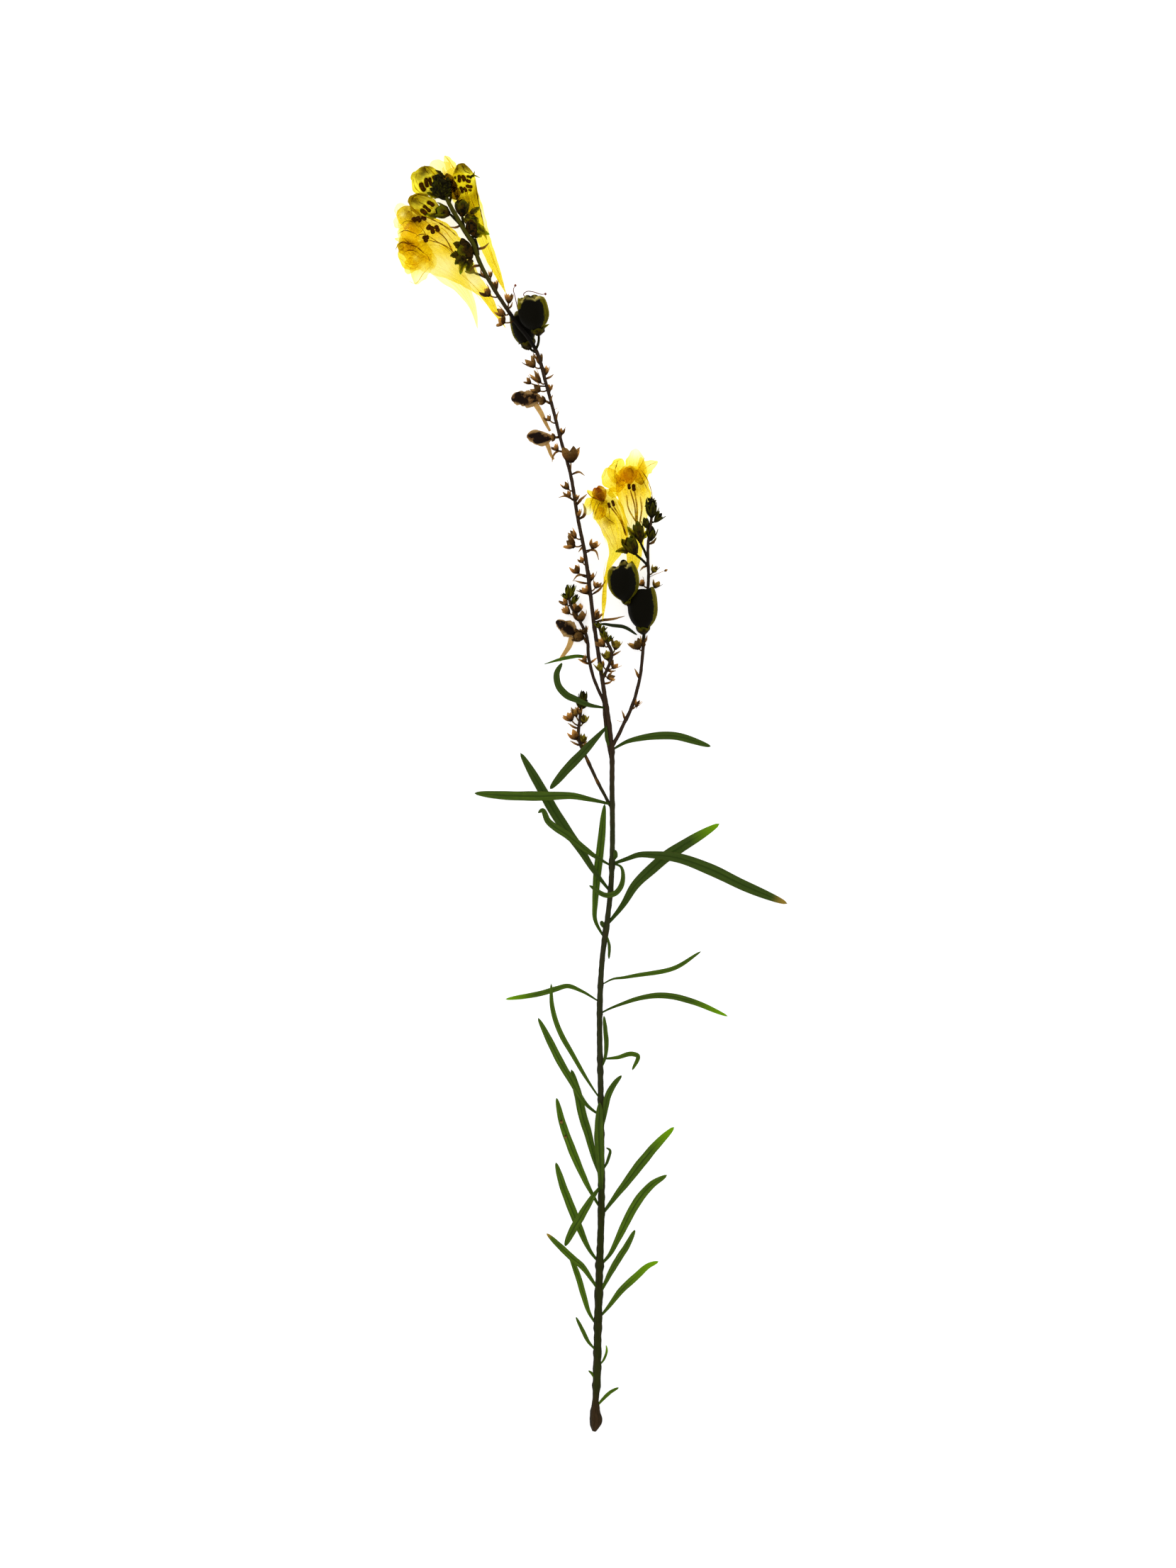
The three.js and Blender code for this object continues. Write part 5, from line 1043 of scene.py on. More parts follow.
sepalFlaps = [
    (((658, 367, 6.6), (653, 376, 7.2), (650, 388, 7.4)), 1.5, 1),
    (((664, 302, 7), (670, 297, 7.1), (677, 292, 7.1)), 1.2, 0.5),
    (((667, 317, 6.8), (676, 322, 6.9), (684, 328, 6.9), (691, 331, 6.9)), 1.7, 1),
    (((667, 305, 6.9), (672, 313, 7), (674, 326, 7)), 1.3, 1),
    (((650, 358, 6.4), (642, 361, 6.6), (635, 362, 6.7)), 1.7, 0.15),
    (((654, 352, 6.6), (646, 347, 6.8), (639, 344, 6.9)), 1.8, 0.1),
    (((656, 364, 6.9), (648, 369, 7.1), (642, 374, 7.1)), 1.9, 0.2),
    (((664, 366, 6.4), (662, 375, 6.6), (662, 384, 6.7)), 1.7, 0.3),
    (((626, 252, 8.9), (620, 245, 9), (614, 241, 9)), 0.8, 0.1),
    (((668, 334, 6.3), (676, 330, 6.4), (682, 319, 6.4)), 1.6, 1),
    (((618, 303, 7.2), (610, 306, 7.3), (601, 303, 7.4)), 1.3, 0.8),
    (((622, 276, 5.2), (611, 276, 5.2), (602, 272, 5.2)), 1.4, 0.8),
    (((657, 304, 7), (663, 309, 7), (671, 307, 7)), 1.3, 1),
]
headPatches += flapPatches(sepalFlaps, 496)
buildPiece("bud_head", headPatches, "bud_green", "leafy_stem")

# Side sprays: their axes as u, v, height, radius, then cups, bracts and buds. seeds are those of
# the cups, the bracts and the buds; nodes are the picture rows where the axis swells.
sprays = {
    "middle_raceme": {
        "node": "leafy_stem", "stations": 90, "sides": 10, "nodes": (), "seeds": (380, 400, 410), "lot": 0.7,
        "bright": 0.3,
        "axis": [
            (850, 958, 3.6, 0.3), (857, 943, 4.3, 0.3), (862, 931, 4.6, 0.3), (863, 921, 4.7, 0.3),
            (858, 909, 4.9, 0.3), (850, 896, 5.1, 0.28), (844, 882, 5.3, 0.26),
        ],
        "cups": [
            (862, 955, 10, 10, 950), (867, 939, 9, 9, 943), (856, 925, 10, 12, 935, 1),
            (869, 909, 11, 13, 922, 0.7), (848, 907, 10, 12, 911), (853, 899, 8, 12, 906, 1),
            (846, 942, 8, 12, 951, 1), (849, 937, 7, 8, 944),
        ],
        "bracts": [
            (((863, 926), (869, 922), (876, 918)), 0.5), (((853, 965), (859, 963), (865, 959)), 0.5),
            (((858, 946), (863, 947), (869, 946)), 0.5),
        ],
        "buds": [
            ((846, 887), (842, 877), 0.5), ((848, 893), (853, 883), 0.45), ((853, 901), (850, 889), 0.6),
            ((856, 906), (863, 897), 0.45),
        ],
    },
    "right_spray": {
        "node": "right_raceme", "stations": 260, "sides": 12, "nodes": (1014, 995, 905),
        "seeds": (500, 520, 530), "lot": 0.7, "bright": 0.1,
        "axis": [
            (863.5, 1053, 3.4, 0.36), (868, 1045, 3.65, 0.36), (873, 1036, 3.45, 0.34), (880, 1021, 3, 0.32),
            (888, 1005, 2.6, 0.32), (894, 990, 2.3, 0.31), (899, 972, 2, 0.31), (903, 955, 1.8, 0.3),
            (906, 930, 1.5, 0.3), (908, 905, 1.2, 0.3), (909, 885, 0.95, 0.3), (912, 860, 0.8, 0.28),
            (914, 832, 0.85, 0.28), (915, 810, 1.9, 0.28), (914, 790, 3.6, 0.28), (914.5, 765, 5.4, 0.26),
            (918, 740, 6.4, 0.26), (920, 722, 6.9, 0.24),
        ],
        "cups": [
            (898, 909, 15, 13, 917, 0.3), (899, 992, 6, 9, 1000), (905, 822, 9, 9, 828),
            (926, 824, 10, 10, 832, 0.5), (923, 803, 8, 9, 810, 0.8),
        ],
        "bracts": [
            (((882, 1017), (880, 1010), (877, 1002)), 0.5), (((902, 958), (899, 951), (895, 943)), 0.6),
            (((914, 798), (908, 800), (903, 805)), 0.5), (((915, 768), (921, 765), (926, 759)), 0.5),
            (((908, 908), (911, 903), (913, 896)), 0.5),
        ],
        "buds": [
            ((919, 731), (918, 704), 1.0), ((923, 737), (934, 724), 0.65), ((914, 746), (908, 730), 0.65),
            ((918, 763), (920, 742), 0.9), ((921, 730), (925, 712), 0.5),
        ],
    },
    "upper_left_spray": {
        "node": "upper_left_raceme", "stations": 260, "sides": 10, "nodes": (), "seeds": (600, 620, 630),
        "lot": 0.3, "bright": 0.4,
        "axis": [
            (862, 1070, 3.1, 0.3), (860, 1058, 3.2, 0.34), (857, 1040, 3.25, 0.36), (854, 1018, 3.2, 0.32),
            (852.5, 1003, 3.1, 0.3), (852, 992, 3, 0.3), (845, 975, 2.3, 0.3), (837, 955, 1.8, 0.3),
            (833, 940, 1.7, 0.3), (830, 925, 1.6, 0.3), (829, 905, 1.5, 0.3), (826, 893, 1.5, 0.3),
            (820, 880, 1.5, 0.28), (812, 866, 1.5, 0.28), (805, 853, 1.5, 0.27), (802, 838, 1.5, 0.26),
        ],
        "cups": [
            (824, 889, 9, 11, 903), (824, 930, 8, 8, 935), (818, 869, 15, 14, 879), (815, 857, 13, 12, 868),
            (799, 861, 10, 11, 866), (796, 849, 9, 10, 853),
        ],
        "bracts": [(((832, 937), (823, 934), (815, 930)), 0.5), (((832, 936), (838, 931), (843, 927)), 0.5)],
        "buds": [
            ((802, 841), (800, 824), 0.5), ((803, 846), (810, 823), 0.45), ((806, 853), (815, 838), 0.5),
            ((801, 846), (794, 836), 0.4),
        ],
    },
    "lower_left_spray": {
        "node": "lower_left_raceme", "stations": 180, "sides": 10, "nodes": (1078, 1105),
        "seeds": (660, 670, 680), "lot": 0.7, "bright": 0.1,
        "axis": [
            (861, 1137, 2.5, 0.3), (851, 1118, 2.2, 0.3), (843, 1103, 2.1, 0.3), (836, 1088, 1.8, 0.3),
            (829, 1073, 1.6, 0.3), (823, 1060, 1.5, 0.3), (818, 1048, 1.5, 0.3), (816, 1035, 1.5, 0.3),
            (818, 1015, 1.5, 0.28), (820, 997, 1.5, 0.26), (822, 985, 1.5, 0.25),
        ],
        "cups": [
            (810, 1037, 12, 12, 1045), (823, 1042, 8, 12, 1052, 1), (803, 1011, 14, 12, 1024),
            (811, 1004, 8, 13, 1018, 0.3), (824, 1014, 9, 12, 1024, 1), (817, 1002, 8, 12, 1010),
        ],
        "bracts": [
            (((817, 1028), (808, 1025), (801, 1020)), 0.5), (((818, 1052), (811, 1049), (804, 1045)), 0.5),
            (((831, 1080), (829, 1073), (826, 1067)), 0.5), (((845, 1109), (842, 1102), (839, 1097)), 0.5),
            (((819, 1056), (824, 1051), (828, 1045)), 0.5),
        ],
        "buds": [
            ((821, 996), (823, 974), 0.8), ((820, 1000), (815, 986), 0.5), ((821, 1000), (829, 987), 0.5),
        ],
    },
}


def sprayPatches(row):
    axis = row["axis"]
    made = [stemPatch(axis, row["stations"], row["sides"], row["nodes"])]
    cupSeed, bractSeed, budSeed = row["seeds"]
    made += cupsAlong(axis, row["cups"], cupSeed)
    made += bractsAlong(axis, row["bracts"], row["lot"], bractSeed)
    return made + budsAlong(axis, row["buds"], budSeed, row["bright"])


rightHairs = [
    ((882, 1016, 3), (879, 1009, 3.4), (877, 1001, 3.7)),
    ((882, 1018, 3), (876, 1018, 3.2), (870, 1016, 3.4)),
    ((897, 1000, 2.4), (901, 994, 2.8), (903, 988, 3.1)), ((897, 998, 2.4), (903, 994, 2.7), (907, 990, 2.9)),
    ((914, 816, 1.6), (920, 812, 1.9), (930, 808, 2.2), (939, 804.5, 2.4)),
]
rightFlaps = [
    (((886, 779, 6.9), (878, 777, 7.1), (868, 779, 7.2)), 1.2, 0.7),
    (((897, 757, 6), (889, 750, 6.2), (884, 743, 6.3)), 1.2, 0.8),
    (((903, 760, 5.9), (910, 754, 5.8), (913, 747, 5.7)), 1.3, 0.9),
    (((916, 768, 5.3), (921, 765, 5.5), (926, 758, 5.7)), 0.6, 0.5),
]
longBract = [(((831, 927), (815, 925.5), (800, 928), (785, 932), (768, 937)), 0.85, 3.2)]
rightMore = hairs(rightHairs, 0.06, driedHusk) + spikes((918, 712, 7.1), (12, 18), 26, 560)
knobEnds = toPlace([(937, 806, 2.35), (942, 803, 2.45)])
swellEnds = toPlace([(907, 914, 1.4), (908, 904, 1.4)])
rightMore.append(spindle(*knobEnds, 0.28 * mm, driedHusk, (0.6, 0, 0), 1, 8, 8, 0.1))
rightMore.append(spindle(*swellEnds, 0.45 * mm, driedHusk, (1, 0, 1), 1, 10, 8, 0.2))
rightMore += flapPatches(rightFlaps, 570)
for i, row in enumerate(sideCalyces.values()):
    rightMore += calyxPatches(row, sepalGreen, 540 + i, (1, 0.15, 0.45), 0.0)
upperLeftMore = bractsAlong(sprays["upper_left_spray"]["axis"], longBract, 0.3, 622, leafGreen)
upperLeftMore += calyxPatches(witheredCalyx, driedHusk, 640, (0.75, 0, 0), 0.1)
sprayMore = {"right_spray": rightMore, "upper_left_spray": upperLeftMore}
for name, row in sprays.items():
    buildPiece(name, sprayPatches(row) + sprayMore.get(name, []), "stalk_brown", row["node"])


# Blooms: rows run from the spur's tip to the mouth, as u, v, height, half width and half height in
# mm. Then the lobes' route, width in mm and bluntness, the base of brown, amber and pale, and the
# zones where there is more of one of them: the brown and some amber zones are painted shade where
# petals overlap, fold or lie over the anthers, and some small pale ones are painted highlights. The
# creases are lines along the folds of the petals: the route in pixels, height, radius in mm and
# colour; the dark ones are painted shade of a fold seen edge-on.
corollaSet = {"stations": 110, "sides": 40, "pleats": 7, "pleatDepth": 0.035, "rough": 0.05}
lobeSet = {"stations": 44, "sides": 36, "crumple": 0.35, "thick": 0.1, "ragged": 0.1}
brown, amber, pale = 0, 1, 2
# Crease colours as brown, amber and pale: line and ridge are painted shade of a fold seen edge-on, dark brown
# and amber; bright is a paler line
line, ridge, bright = (1, 0.7, 0), (0.12, 0.9, 0), (0, 0.2, 0.2)
blooms = {
    "flower_a_corolla": {
        "rows": [
            (713, 462, 1.6, 0.05, 0.05), (697, 436, 2.4, 0.65, 0.6), (683, 413, 2.9, 1.15, 0.9),
            (663, 394, 4.3, 2, 1.3), (643, 374, 5, 3.5, 1.9), (622, 356, 5.4, 5, 2.3),
            (600, 342, 5.5, 5.2, 2.4), (582, 332, 5.5, 4.3, 2.2),
        ],
        "finish": "petalYellow", "slot": "petal_yellow", "base": (0, 0.3, 0),
        "lobes": [
            (((597, 323, 6.4), (579, 308, 5.0), (561, 298, 4.6)), 4.7, 7),
            (((580, 342, 6.2), (568, 340, 6.4), (557, 337, 6.3)), 1.5, 1.5),
            (((604, 346, 4.6), (585, 361, 4.0), (561, 357, 3.8)), 5.6, 5),
            (((590, 342, 6.6), (574, 349, 6.9), (560, 345, 6.7)), 2.2, 6),
            (((602, 362, 5.0), (593, 382, 4.4), (586, 401, 4.0)), 4.6, 2),
            (((584, 364, 6.2), (578, 378, 6.0), (575, 387, 5.8)), 2.4, 6),
            (((608, 358, 6.2), (611, 370, 6.2), (607, 381, 6.0)), 1.6, 6),
        ],
        "zones": [
            (572, 298, 13, brown, 0.25), (566, 352, 11, brown, 0.15), (572, 300, 14, amber, 0.3),
            (583, 326, 15, amber, 0.15), (566, 350, 12, amber, 0.4), (580, 352, 14, amber, 0.2),
            (560, 346, 7, brown, 0.4), (588, 309, 11, brown, 0.6), (598, 343, 9, brown, 0.15),
            (577, 341, 6, brown, 0.35), (592, 362, 9, brown, 0.1), (576, 298, 9, brown, 0.4),
            (586, 354, 6, brown, 0.25), (598, 303, 8, brown, 0.4), (568, 304, 4, pale, 0.6),
            (587, 365, 4, pale, 0.7), (596, 374, 5, pale, 0.6), (616, 322, 16, amber, 0.5),
            (630, 336, 12, amber, 0.3), (640, 343, 14, amber, 0.15), (626, 382, 18, pale, 0.75),
            (616, 345, 6, pale, 0.5), (628, 336, 9, pale, 0.3), (617, 366, 8, pale, 0.5),
            (606, 384, 8, pale, 0.6), (629, 354, 7, amber, 0.4), (632, 372, 10, pale, 0.5),
            (592, 394, 13, pale, 0.85), (572, 386, 7, pale, 0.4), (656, 382, 12, pale, 0.25),
            (562, 339, 5, pale, 0.5), (600, 306, 8, pale, 0.35), (668, 398, 12, pale, 0.6),
            (694, 432, 24, amber, 0.4),
        ],
        "creases": [
            (((598, 305), (612, 311), (625, 318), (636, 326), (645, 334)), 5.6, 0.153, line),
            (((616, 318), (628, 326), (636, 336), (641, 341)), 6.2, 0.088, ridge),
            (((610, 322), (622, 331), (632, 342), (638, 352)), 6.6, 0.068, ridge),
            (((605, 333.5), (616, 341), (625, 346), (634, 353.5), (638, 358)), 6.8, 0.115, line),
            (((606, 346), (619, 347), (631, 354), (637, 361)), 6.6, 0.061, ridge),
            (((558, 353.5), (562, 346), (569, 342), (578, 346), (588, 349), (596, 356), (603.5, 362), (606.5,
             369)), 7, 0.123, line),
            (((579, 362), (583.5, 360), (589, 362), (589, 366.5), (586.5, 368.5)), 6.9, 0.068, ridge),
            (((572, 372), (578, 378), (588, 378), (588, 369)), 6.6, 0.054, ridge),
            (((576.5, 396.5), (585, 400), (598, 385), (608, 375), (611, 369)), 4.6, 0.061, ridge),
            (((559, 303.5), (566.5, 293.5), (575, 291), (582, 293.5), (588, 302)), 5.1, 0.054, ridge),
            (((585, 336.5), (591, 332), (598, 331), (603.5, 333.5), (605, 338)), 6.9, 0.095, line),
            (((564, 320), (572, 313), (583, 314), (592, 322)), 7.1, 0.085, line),
            (((561, 331), (571, 326), (583, 329), (595, 337)), 7.2, 0.095, line),
            (((589, 317), (597, 325), (602, 335)), 7.2, 0.076, line),
            (((568, 359), (576, 354), (586, 355), (594, 361)), 7.4, 0.085, line),
            (((564, 364), (571, 371), (582, 374), (592, 372)), 7.2, 0.061, ridge),
            (((570, 336), (576, 343), (586, 345)), 7.4, 0.105, line),
            (((652, 388), (664, 399), (676, 411), (686, 424)), 4.6, 0.068, ridge),
            (((655, 396), (668, 410), (682, 428)), 4.2, 0.054, bright),
        ],
    },
    "flower_b_corolla": {
        "rows": [
            (673.5, 463, 0.4, 0.05, 0.05), (669, 440, 0.65, 0.55, 0.5), (661, 420, 0.85, 1, 0.7),
            (650, 402, 1, 1.7, 0.85), (632, 380, 1.15, 2.7, 1), (610, 352, 1.2, 3.6, 1.05),
            (590, 325, 1.2, 3.5, 1.05), (578, 308, 1.15, 2.8, 0.95),
        ],
        "finish": "petalPale", "slot": "petal_pale", "base": (0, 0.15, 0.2),
        "lobes": [
            (((582, 314, 1.8), (568, 298, 1.5), (560, 287, 1.3)), 3.2, 7),
            (((576, 318, 0.9), (563, 312, 0.8), (557, 306, 0.8)), 2.6, 7),
        ],
        "zones": [(565, 300, 20, pale, 0.4), (612, 380, 24, pale, 0.6), (668, 440, 20, amber, 0.1)],
        "creases": [],
    },
    "bud_c_corolla": {
        "rows": [
            (629, 265, 4.8, 0.05, 0.05), (622, 262, 4.75, 1.5, 1.1), (609, 258, 4.7, 2.7, 1.7),
            (597, 254, 4.7, 3, 1.9), (588, 250, 4.7, 2.3, 1.5), (583, 248, 4.7, 0.9, 0.8),
        ],
        "finish": "budSkin", "slot": "bud_green", "base": (0.15, 0.25, 0), "lobes": [],
        "zones": [
            (600, 240, 10, brown, 0.65), (594, 250, 9, brown, 0.5), (584, 262, 7, pale, 0.9),
            (588, 272, 6, pale, 0.7), (620, 262, 12, brown, 0.9), (606, 236, 7, brown, 0.5),
            (586, 240, 6, pale, 0.5), (612, 240, 5, pale, 0.6), (606, 273, 9, brown, 0.8),
            (583, 252, 5, pale, 0.5),
        ],
        "creases": [
            (((598, 233.5), (605, 238), (612, 245), (618, 251)), 6.0, 0.095, bright),
            (((598, 235), (601, 241), (605, 246)), 6.2, 0.082, line),
            (((583, 252), (586, 265), (593, 272), (603, 275)), 5.4, 0.082, bright),
            (((588, 243), (587, 254), (590, 262)), 6.1, 0.054, ridge),
        ],
    },
    "bud_d_corolla": {
        "rows": [
            (624, 299, 6.7, 0.05, 0.05), (615, 297, 6.7, 1.3, 1), (603, 292, 6.6, 2, 1.5),
            (592, 288, 6.6, 2.1, 1.6), (584, 284, 6.6, 1.6, 1.3), (579, 282, 6.6, 0.85, 0.75),
        ],
        "finish": "budSkin", "slot": "bud_green", "base": (0.25, 0.4, 0), "lobes": [],
        "zones": [
            (585, 284, 9, brown, 0.7), (598, 284, 9, brown, 0.4), (590, 298, 7, amber, 0.4),
            (616, 298, 10, brown, 0.9), (584, 292, 5, pale, 0.4), (598, 276, 5, pale, 0.3),
        ],
        "creases": [
            (((580, 287), (583, 279), (590, 275.5), (599, 277), (609, 282)), 7.4, 0.068, line),
            (((582, 293.5), (592, 303), (605, 307.5), (614, 309)), 7.0, 0.088, bright),
            (((588, 280), (592, 286), (600, 290)), 7.9, 0.068, line),
        ],
    },
    "flower_e_corolla": {
        "rows": [
            (687, 338, 3.9, 0.05, 0.05), (678, 318, 4.3, 0.7, 0.55), (669, 298, 5.1, 1.3, 0.9),
            (661, 282, 5.8, 2.1, 1.4), (656, 264, 6.2, 2.35, 1.8), (653, 247, 6.2, 2.1, 1.6),
            (650, 234, 6.2, 0.9, 0.8),
        ],
        "finish": "budSkin", "slot": "bud_green", "base": (0.3, 0.2, 0), "lobes": [],
        "zones": [
            (650, 238, 12, brown, 0.9), (668, 288, 10, pale, 0.35), (672, 298, 8, amber, 0.6),
            (636, 268, 10, brown, 0.9), (642, 284, 10, brown, 0.7), (679, 322, 12, pale, 0.8),
            (678, 296, 7, pale, 0.9), (681, 312, 10, pale, 0.9), (669, 250, 5, pale, 0.8),
            (640, 252, 5, pale, 0.4),
        ],
        "creases": [
            (((639, 249), (643.5, 262), (646, 273.5), (645, 285)), 7.2, 0.095, bright),
            (((671, 262), (674, 280), (678, 298), (683, 318)), 6.2, 0.088, line),
            (((664, 280), (669, 292), (672, 304)), 6.9, 0.082, ridge),
            (((652, 233), (656, 242), (664, 246)), 7.4, 0.068, line),
        ],
    },
    "flower_f_corolla": {
        "rows": [
            (713.5, 413.5, 2.6, 0.05, 0.05), (703, 388, 2.3, 0.65, 0.5), (692, 362, 2, 1.05, 0.7),
            (682, 336, 1.75, 1.3, 0.8), (673, 312, 1.5, 1.8, 1), (662, 288, 1.35, 2.3, 1.1),
            (648, 264, 1.3, 2.5, 1.15), (634, 247, 1.3, 2.2, 1.1),
        ],
        "finish": "petalYellow", "slot": "petal_pale", "base": (0, 0, 0),
        "lobes": [
            (((636, 256, 1.4), (620, 238, 1.2), (607, 228, 1.0)), 3.9, 7),
            (((641, 252, 1.9), (636, 234, 2.0), (627, 219, 2.0)), 2.3, 3),
            (((628, 250, 2.2), (626, 242, 2.4), (625, 235, 2.4)), 0.8, 1.5),
        ],
        "zones": [
            (612, 236, 22, pale, 0.85), (640, 262, 22, pale, 0.5), (632, 224, 7, amber, 0.4),
            (626, 244, 5, amber, 0.8), (680, 308, 16, pale, 0.8), (706, 398, 24, amber, 0.7),
            (694, 366, 16, amber, 0.35),
        ],
        "creases": [
            (((627, 219), (633, 226), (638, 234), (642, 240)), 2.4, 0.095, ridge),
            (((678, 300), (681, 316), (684, 332)), 2.3, 0.068, ridge),
            (((684, 336), (692, 358), (702, 384), (710, 402)), 2.6, 0.068, bright),
            (((690, 345), (696, 365), (706, 390)), 2.5, 0.054, ridge),
        ],
    },
    "flower_g_corolla": {
        "rows": [
            (850, 877, 4.6, 0.05, 0.05), (852, 850, 4.7, 0.42, 0.4), (854, 822, 4.9, 0.42, 0.4),
            (859, 799, 5.5, 0.5, 0.5), (868, 777, 6.6, 1.3, 1), (869, 756, 7, 2.2, 1.7),
            (863, 735, 7.1, 2.8, 2.1), (855, 715, 7.1, 2.8, 2.1), (848, 701, 7.1, 2.3, 1.8),
        ],
        "finish": "petalYellow", "slot": "petal_yellow", "base": (0, 0.25, 0),
        "lobes": [
            (((843, 703, 8.3), (834, 697, 8.6), (828, 692, 8.5)), 1.5, 1.5),
            (((842, 706, 7.2), (832, 712, 7.6), (829, 727, 7.4)), 2.4, 5),
            (((847, 706, 8.8), (843, 719, 9.1), (842, 733, 9.0)), 1.9, 3),
            (((853, 706, 8.7), (851, 720, 9.0), (850, 731, 8.9)), 1.7, 4),
            (((860, 700, 6.4), (866, 694, 6.2), (870, 689, 5.8)), 2.2, 6),
            (((850, 716, 5.6), (842, 728, 5.4), (838, 733, 5.2)), 2.2, 5),
        ],
        "zones": [
            (846, 695, 10, amber, 0.6), (850, 704, 9, brown, 0.55), (862, 712, 9, brown, 0.6),
            (857, 730, 14, amber, 0.6), (853, 724, 8, brown, 0.1), (858, 737, 9, amber, 0.8),
            (858, 735, 8, brown, 0.65), (862, 758, 12, brown, 0.12), (829, 722, 6, pale, 0.8),
            (834, 728, 7, pale, 0.6), (864, 760, 12, pale, 0.1), (876, 748, 12, amber, 0.5),
            (880, 764, 10, amber, 0.5), (848, 745, 7, pale, 0.3), (872, 774, 8, brown, 0.12),
            (854, 812, 14, amber, 0.5), (852, 850, 30, amber, 0.6), (868, 770, 14, amber, 0.2),
        ],
        "creases": [
            (((828, 694), (833, 700), (840, 704), (846, 706)), 8.9, 0.082, line),
            (((829, 716), (834, 711), (841, 708)), 8.4, 0.054, ridge),
            (((839, 699), (834, 709), (832, 722)), 9.2, 0.082, line),
            (((843, 705), (839, 715), (836, 727)), 9.3, 0.075, line),
            (((852, 727), (858, 733), (867, 739)), 8.7, 0.082, line),
            (((855, 707), (859, 719), (860, 731)), 9.1, 0.082, line),
            (((838, 732), (841, 722), (845, 712), (849, 705)), 9.2, 0.075, line),
            (((845, 732), (850, 724), (852, 712)), 9.1, 0.068, line),
            (((840, 736), (845, 741), (850, 752), (856, 768)), 7.6, 0.054, ridge),
            (((849, 742), (858, 758), (866, 775)), 8.2, 0.054, ridge),
            (((858, 732), (863, 748), (869, 765), (872, 778)), 8.4, 0.054, ridge),
            (((866, 704), (872, 718), (878, 733), (884, 750)), 6.2, 0.068, ridge),
            (((855, 792), (852, 806), (852, 822), (850, 850)), 5.3, 0.054, ridge),
        ],
    },
    "flower_h_corolla": {
        "rows": [
            (884, 850, 1, 0.05, 0.05), (888, 828, 1.2, 0.5, 0.45), (892, 806, 1.7, 0.9, 0.7),
            (894, 786, 2.4, 1.4, 1.1), (896, 762, 2.9, 1.7, 1.45), (896, 738, 3.2, 2.2, 1.7),
            (896, 714, 3.4, 2.9, 2.1), (893, 690, 3.5, 3.3, 2.3), (889, 668, 3.5, 2.8, 2),
        ],
        "finish": "petalYellow", "slot": "petal_yellow", "base": (0, 0.2, 0),
        "lobes": [
            (((878, 690, 3.4), (862, 676, 3.2), (855, 660, 3.0)), 3.6, 6),
            (((882, 682, 5.0), (870, 664, 5.5), (877, 647, 5.5)), 3.6, 5),
            (((895, 678, 5.2), (896, 654, 5.6), (897, 633, 5.5)), 3.7, 5),
            (((900, 682, 4.0), (912, 660, 4.3), (928, 651, 4.4)), 2.8, 3),
            (((905, 676, 5.0), (906, 660, 5.4), (904, 645, 5.5)), 1.8, 4),
        ],
        "zones": [
            (884, 684, 18, amber, 0.6), (877, 674, 7, amber, 0.5), (868, 690, 12, amber, 0.5),
            (902, 690, 12, amber, 0.5), (899, 679, 9, brown, 0.2), (868, 682, 6, brown, 0.2),
            (892, 664, 5, brown, 0.3), (906, 683, 6, brown, 0.35), (888, 800, 24, amber, 0.6),
            (867, 660, 7, amber, 0.6), (897, 636, 13, pale, 1.0), (920, 655, 10, pale, 0.5),
            (895, 726, 18, pale, 0.75), (893, 744, 12, pale, 0.5), (908, 694, 9, amber, 0.4),
            (896, 690, 7, brown, 0.45), (898, 668, 7, amber, 0.5), (886, 745, 8, brown, 0.45),
            (858, 670, 9, pale, 0.2), (893, 706, 14, amber, 0.3),
        ],
        "creases": [
            (((851, 674), (857, 661), (868, 652), (879, 647)), 5.2, 0.068, ridge),
            (((872, 650), (868, 662), (867, 676)), 5.9, 0.082, line),
            (((884, 663), (889, 661), (893, 666), (897, 676)), 5.8, 0.082, line),
            (((895, 660), (902, 668), (908, 680), (915, 694)), 5.6, 0.075, line),
            (((909, 646), (905, 655), (899, 664)), 5.9, 0.068, ridge),
            (((904, 663), (913, 676), (918, 690), (921, 705)), 5.7, 0.088, line),
            (((926, 652), (917, 656), (907, 664)), 5.2, 0.061, ridge),
            (((870, 695), (878, 716), (886, 738), (892, 752)), 4.6, 0.068, ridge),
            (((890, 708), (892, 724), (890, 742)), 4.9, 0.054, ridge),
            (((907, 706), (906, 722), (901, 740)), 4.6, 0.054, ridge),
            (((899, 704), (900, 722), (899, 740)), 4.9, 0.054, ridge),
        ],
    },
}


def corollaTube(rows, finish, seed):
    # A balloon from the spur's tip to the mouth, closed over the mouth by a shallow dome, with
    # pleats along it and small dents.
    line = smoothLine(toPlace(rows), corollaSet["stations"])
    line[:, 3:] = np.maximum(line[:, 3:], 0.00003)
    end, way = line[-1], unit(line[-1, :3] - line[-4, :3])
    dome = np.linspace(0.15, 0.97, 8)[:, None]
    cap = np.concatenate([end[:3] + way * end[3] * 0.5 * dome, end[3:] * np.sqrt(1 - dome**2)], axis=1)
    line = np.concatenate([line, cap])
    turn = turnOf(corollaSet["sides"])
    share = np.linspace(0, 1, len(line))[:, None]
    pleat = 1 + corollaSet["pleatDepth"] * np.sin(corollaSet["pleats"] * turn + 5 * share + seed)
    across, over = line[:, 3:4] * np.cos(turn) * pleat, line[:, 4:5] * np.sin(turn) * pleat
    uneven = 1 + corollaSet["rough"] * ripple(ringPlaces(line, across, over), 0.0022, seed)
    return sweep(line[:, :3], across * uneven, over * uneven, finish)


